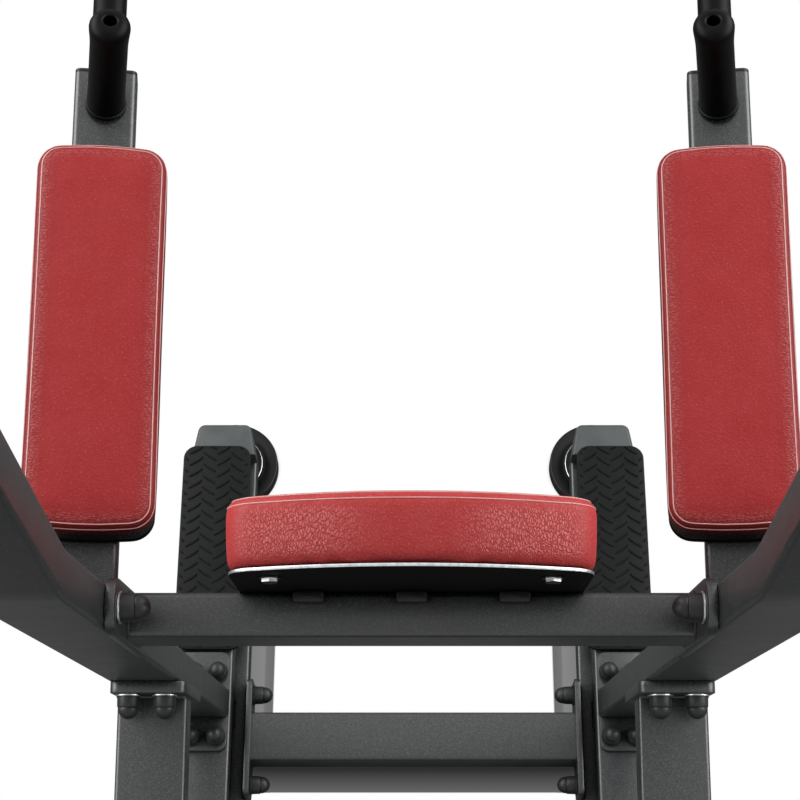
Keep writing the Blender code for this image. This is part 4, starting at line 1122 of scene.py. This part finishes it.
def backrestPieces():
    s = backrest
    bottom = beam["along"] + beam["height"] / 2 + s["aboveBeam"] - s["height"]
    rear = beam["depth"] / 2 + gap
    place = onPost(0.0, bottom, rear) @ turn(90, "X") @ turn(180, "Y")
    w, h = s["width"] / 2, s["height"]
    shoulder = h - s["arch"]
    corners = [(-w, 0.0), (w, 0.0), (w, shoulder)]
    for step in range(1, 14):
        x = w * (1 - 2 * step / 14)
        corners.append((x, shoulder + s["arch"] * (1 - (x / w) ** 2)))
    corners.append((-w, shoulder))
    outline = roundedCorners(corners, s["corner"], outlines["steps"], outlines["run"])
    # the board's rim is pale bare steel, partly a painted highlight along its edge
    sheetBoard("backrestSheet", "backrest_board", outline, s["board"], place, s["inset"], edgeSteelAndHighlight)
    cushion("backrestCushion", "backrest_pad", outline, s["thickness"], s["taper"],
            place @ shift(z=s["board"] + gap), backLeather, smoothMiddle=True)
    along = bottom + h - s["arch"] - s["boltDrop"]
    for side in (-1, 1):
        seat = onPost(side * s["boltX"], along, rear - gap) @ turn(90, "X")
        head = bmesh.new()
        bmesh.ops.create_cone(head, cap_ends=True, segments=6, radius1=s["hexRadius"],
                              radius2=s["hexRadius"], depth=s["hexHeight"])
        head.normal_update()
        roundEdges(head, {e for f in head.faces if f.normal.z > 0.9 for e in f.edges},
                   s["hexEdge"], 2)
        for face in head.faces:
            # painted highlight: the flats of the head that face up are given bright zinc
            face.material_index = 1 if face.normal.y > 0.4 and abs(face.normal.z) < 0.1 else 0
        placed(head, seat @ shift(z=s["hexHeight"] / 2))
        washer = turned([(0.003, 0.0), (0.0095, 0.0), (0.0095, 0.0010), (0.0090, 0.0014),
                         (0.003, 0.0014)], seat, 32)
        name = sideName(side)
        finishPiece(f"backrestBolt_{name}", joined(head, washer), blackZinc,
                    f"backrest_bolt_{name}", [zincPlate], 20)


for side in (-1, 1):
    armPad(side)
print("arm pads built")
backrestPieces()
print("backrest built")


# pull-up bar, above the photograph's view

pullBar = {"radius": 0.016, "height": 2.080, "straightHalf": 0.390, "endLength": 0.170, "droop": 28.0,
           "forward": 20.0, "bendRadius": 0.080, "standoff": 0.034, "stemWidth": 0.036,
           "stemHeight": 0.050, "stemCorner": 0.006, "flangeWidth": 0.078, "flangeHeight": 0.110,
           "flange": 0.006, "flangeCorner": 0.010, "sleeveLength": 0.140, "sleeveRadius": 0.0195,
           "sleeveCap": 0.008, "sleeveEdge": 0.006, "rings": 22, "firstRing": 0.008,
           "ringStep": 0.0056, "ringDepth": 0.0007}


def pullUpBar():
    s = pullBar
    postFront = onPost(0.0, posts["bendAlong"], 0.0).translation.y + posts["depth"] / 2
    y = postFront + gap + s["standoff"]
    droop, ahead = radians(s["droop"]), radians(s["forward"])
    fall = Vector((cos(droop), sin(ahead) * sin(droop), -cos(ahead) * sin(droop)))
    right = Vector((s["straightHalf"], y, s["height"]))
    tip = right + fall * s["endLength"]
    corners = [Vector((-tip.x, tip.y, tip.z)), Vector((-right.x, y, s["height"])), right, tip]
    normal = Vector((1, 0, 0)).cross(fall).normalized()
    path = [station.translation for station in bentStations(corners, s["bendRadius"], normal, 12)]
    shapes = [rod(path, [s["radius"]] * len(path), sides=28)]
    stem = (s["stemWidth"], s["stemHeight"])
    for side in (-1, 1):
        back = shift(side * posts["x"], postFront + gap, s["height"]) @ turn(-90, "X")
        shapes.append(plate(back @ shift(z=s["flange"] / 2),
                            (s["flangeWidth"], s["flangeHeight"], s["flange"]), s["flangeCorner"]))
        shapes.append(block(back @ shift(z=s["standoff"] / 2),
                            (*stem, s["standoff"] - 2 * welds["overlap"]), s["stemCorner"]))
        shapes.append(weldBead(back @ shift(z=s["flange"]), *stem, s["stemCorner"]))
    finishPiece("pullUpBar", joined(*shapes), steelCoat, "pull_up_bar")
    r, cap, edge = s["sleeveRadius"], s["sleeveCap"], s["sleeveEdge"]
    hole, low, groove = grips["hole"], -s["sleeveLength"], r - s["ringDepth"]
    profile = [(hole, gap), (hole, cap - 0.0006), (hole + 0.001, cap)]
    profile += arc(r - edge, cap - edge, edge, 90, 0, 6)
    # shallow finger rings along the sleeve
    for ring in range(s["rings"]):
        z = -s["firstRing"] - ring * s["ringStep"]
        profile += [(r, z), (groove, z - 0.0012), (groove, z - 0.0026), (r, z - 0.0038)]
    profile += [(r, low + 0.001), (r - 0.001, low), (s["radius"] + gap, low), (s["radius"] + gap, gap)]
    for side in (-1, 1):
        way = Vector((side * fall.x, fall.y, fall.z)).to_track_quat("Z", "Y").to_matrix().to_4x4()
        sleeve = turned(profile, shift(side * tip.x, tip.y, tip.z) @ way)
        name = sideName(side)
        finishPiece(f"barSleeve_{name}", sleeve, gripRubber, f"bar_sleeve_{name}")


pullUpBar()
print("pull-up bar built")


# floor, light and camera

# where the floor's painted shadows lie: their spans across and forward, and the colours along them
paintedFloorShadows = {"beside": (0.18, 0.36), "frontFade": (0.24, 0.36), "rearEdge": (-0.0600, -0.0615),
         "behind": (-0.07, 0.06), "widthFade": (0.30, 0.36), "contact": 0.03, "mirrored": 0.08,
         "besideShades": ((0.0, "#ffffff"), (0.15, "#ffffff"), (0.16, "#6b6b6b"), (0.225, "#747474"),
                          (0.24, "#868686"), (0.40, "#7a7a7a"), (0.72, "#7a7a7a")),
         "behindShades": ((0.0, "#ffffff"), (0.066, "#ffffff"), (0.078, "#646464"),
                          (0.33, "#2e2e2e"), (0.78, "#2e2e2e")),
         "contactShades": ((0.0, "#303030"), (0.45, "#c0c0c0"), (0.62, "#ffffff"))}
studio = {"floorSize": 14.0, "cameraAt": (0.0044, -0.61, 2.636), "below": 66.0, "lens": 81.54,
          "shiftX": -0.02075, "skyLight": 0.14}
# place, aim, length, height and power
lamps = {"over": ((0.0, 0.9, 4.4), (0.0, 0.1, 0.8), 3.2, 3.2, 18.0),
         "left": ((-2.5, 0.9, 2.3), (0.0, 0.1, 0.9), 4.0, 1.9, 155.0),
         "right": ((2.5, 0.9, 2.3), (0.0, 0.1, 0.9), 4.0, 1.9, 155.0)}


def emptyTree(owner):
    owner.use_nodes = True
    owner.node_tree.nodes.clear()
    return owner.node_tree


def buildFloor():
    # white studio floor: the camera sees it white, with painted shadows: sharp grey bands where the
    # rails and the cross member would throw shade inwards and to the rear, and a soft painted shade
    # where a foot stands
    s = paintedFloorShadows
    material = bpy.data.materials.new("studioFloor")
    tree = emptyTree(material)
    path = addNode(tree, "LightPath").node.outputs
    place = addNode(tree, "SeparateXYZ", {"Vector": addNode(tree, "TexCoord", output="Object")})
    forward = place.node.outputs["Y"]
    across = addNode(tree, "Math", {0: place}, operation="ABSOLUTE")
    beside = shadeRamp(tree, mapRange(tree, across, *s["beside"]), s["besideShades"])
    beside = chain(tree, "VectorMath", "MAXIMUM", beside, mapRange(tree, forward, *s["frontFade"]),
                   mapRange(tree, forward, *s["rearEdge"]))
    behind = shadeRamp(tree, mapRange(tree, forward, *s["behind"]), s["behindShades"])
    behind = chain(tree, "VectorMath", "MAXIMUM", behind, mapRange(tree, across, *s["widthFade"]))
    openness = addNode(tree, "AmbientOcclusion", {"Distance": s["contact"]}, "AO", samples=16)
    under = shadeRamp(tree, openness, s["contactShades"])
    white = addNode(tree, "Emission", {"Strength": 1.0, "Color": chain(tree, "VectorMath", "MINIMUM",
                                                                       under, beside, behind)})
    # other rays meet dark paint, and mirrors show a little of the white: a bright floor would
    # light the frame from below
    paint = addNode(tree, "BsdfDiffuse", {"Color": toLinear("#535353")})
    mirrored = chain(tree, "Math", "MAXIMUM", path["Is Glossy Ray"], path["Is Transmission Ray"])
    unseen = addNode(tree, "MixShader", {0: chain(tree, "Math", "MULTIPLY", mirrored, s["mirrored"]),
                                         1: paint, 2: white})
    mixed = addNode(tree, "MixShader", {0: path["Is Camera Ray"], 1: unseen, 2: white})
    addNode(tree, "OutputMaterial", {"Surface": mixed})
    bm = bmesh.new()
    bmesh.ops.create_grid(bm, x_segments=1, y_segments=1, size=studio["floorSize"] / 2)
    floor = addObject("floor", meshFrom(bm, "floor"))
    floor.data.materials.append(material)


def buildLight():
    world = bpy.data.worlds.new("studio")
    bpy.context.scene.world = world
    tree = emptyTree(world)
    path = addNode(tree, "LightPath").node.outputs
    seen = chain(tree, "Math", "MAXIMUM", path["Is Camera Ray"], path["Is Glossy Ray"],
                 path["Is Transmission Ray"])
    soft = addNode(tree, "Background", {"Color": (1, 1, 1, 1), "Strength": studio["skyLight"]})
    white = addNode(tree, "Background", {"Color": (1, 1, 1, 1), "Strength": 1.0})
    addNode(tree, "OutputWorld", {"Surface": addNode(tree, "MixShader", {0: seen, 1: soft, 2: white})})
    # two long soft boxes at the sides draw the bright line along every rounded tube edge
    for name, (spot, target, length, height, power) in lamps.items():
        lamp = addObject(name, setAll(bpy.data.lights.new(name, "AREA"), shape="RECTANGLE",
                                      size=length, size_y=height, energy=power))
        lamp.location = spot
        lamp.rotation_euler = (Vector(target) - Vector(spot)).to_track_quat("-Z", "Y").to_euler()


def buildCamera():
    camera = addObject("camera", setAll(bpy.data.cameras.new("camera"), lens=studio["lens"],
                                        sensor_width=36.0, shift_x=studio["shiftX"]))
    camera.location = studio["cameraAt"]
    camera.rotation_euler = (radians(90.0 - studio["below"]), 0.0, 0.0)
    bpy.context.scene.camera = camera


buildFloor()
buildLight()
buildCamera()
bpy.context.scene.view_settings.view_transform = "Standard"
print("stage ready")
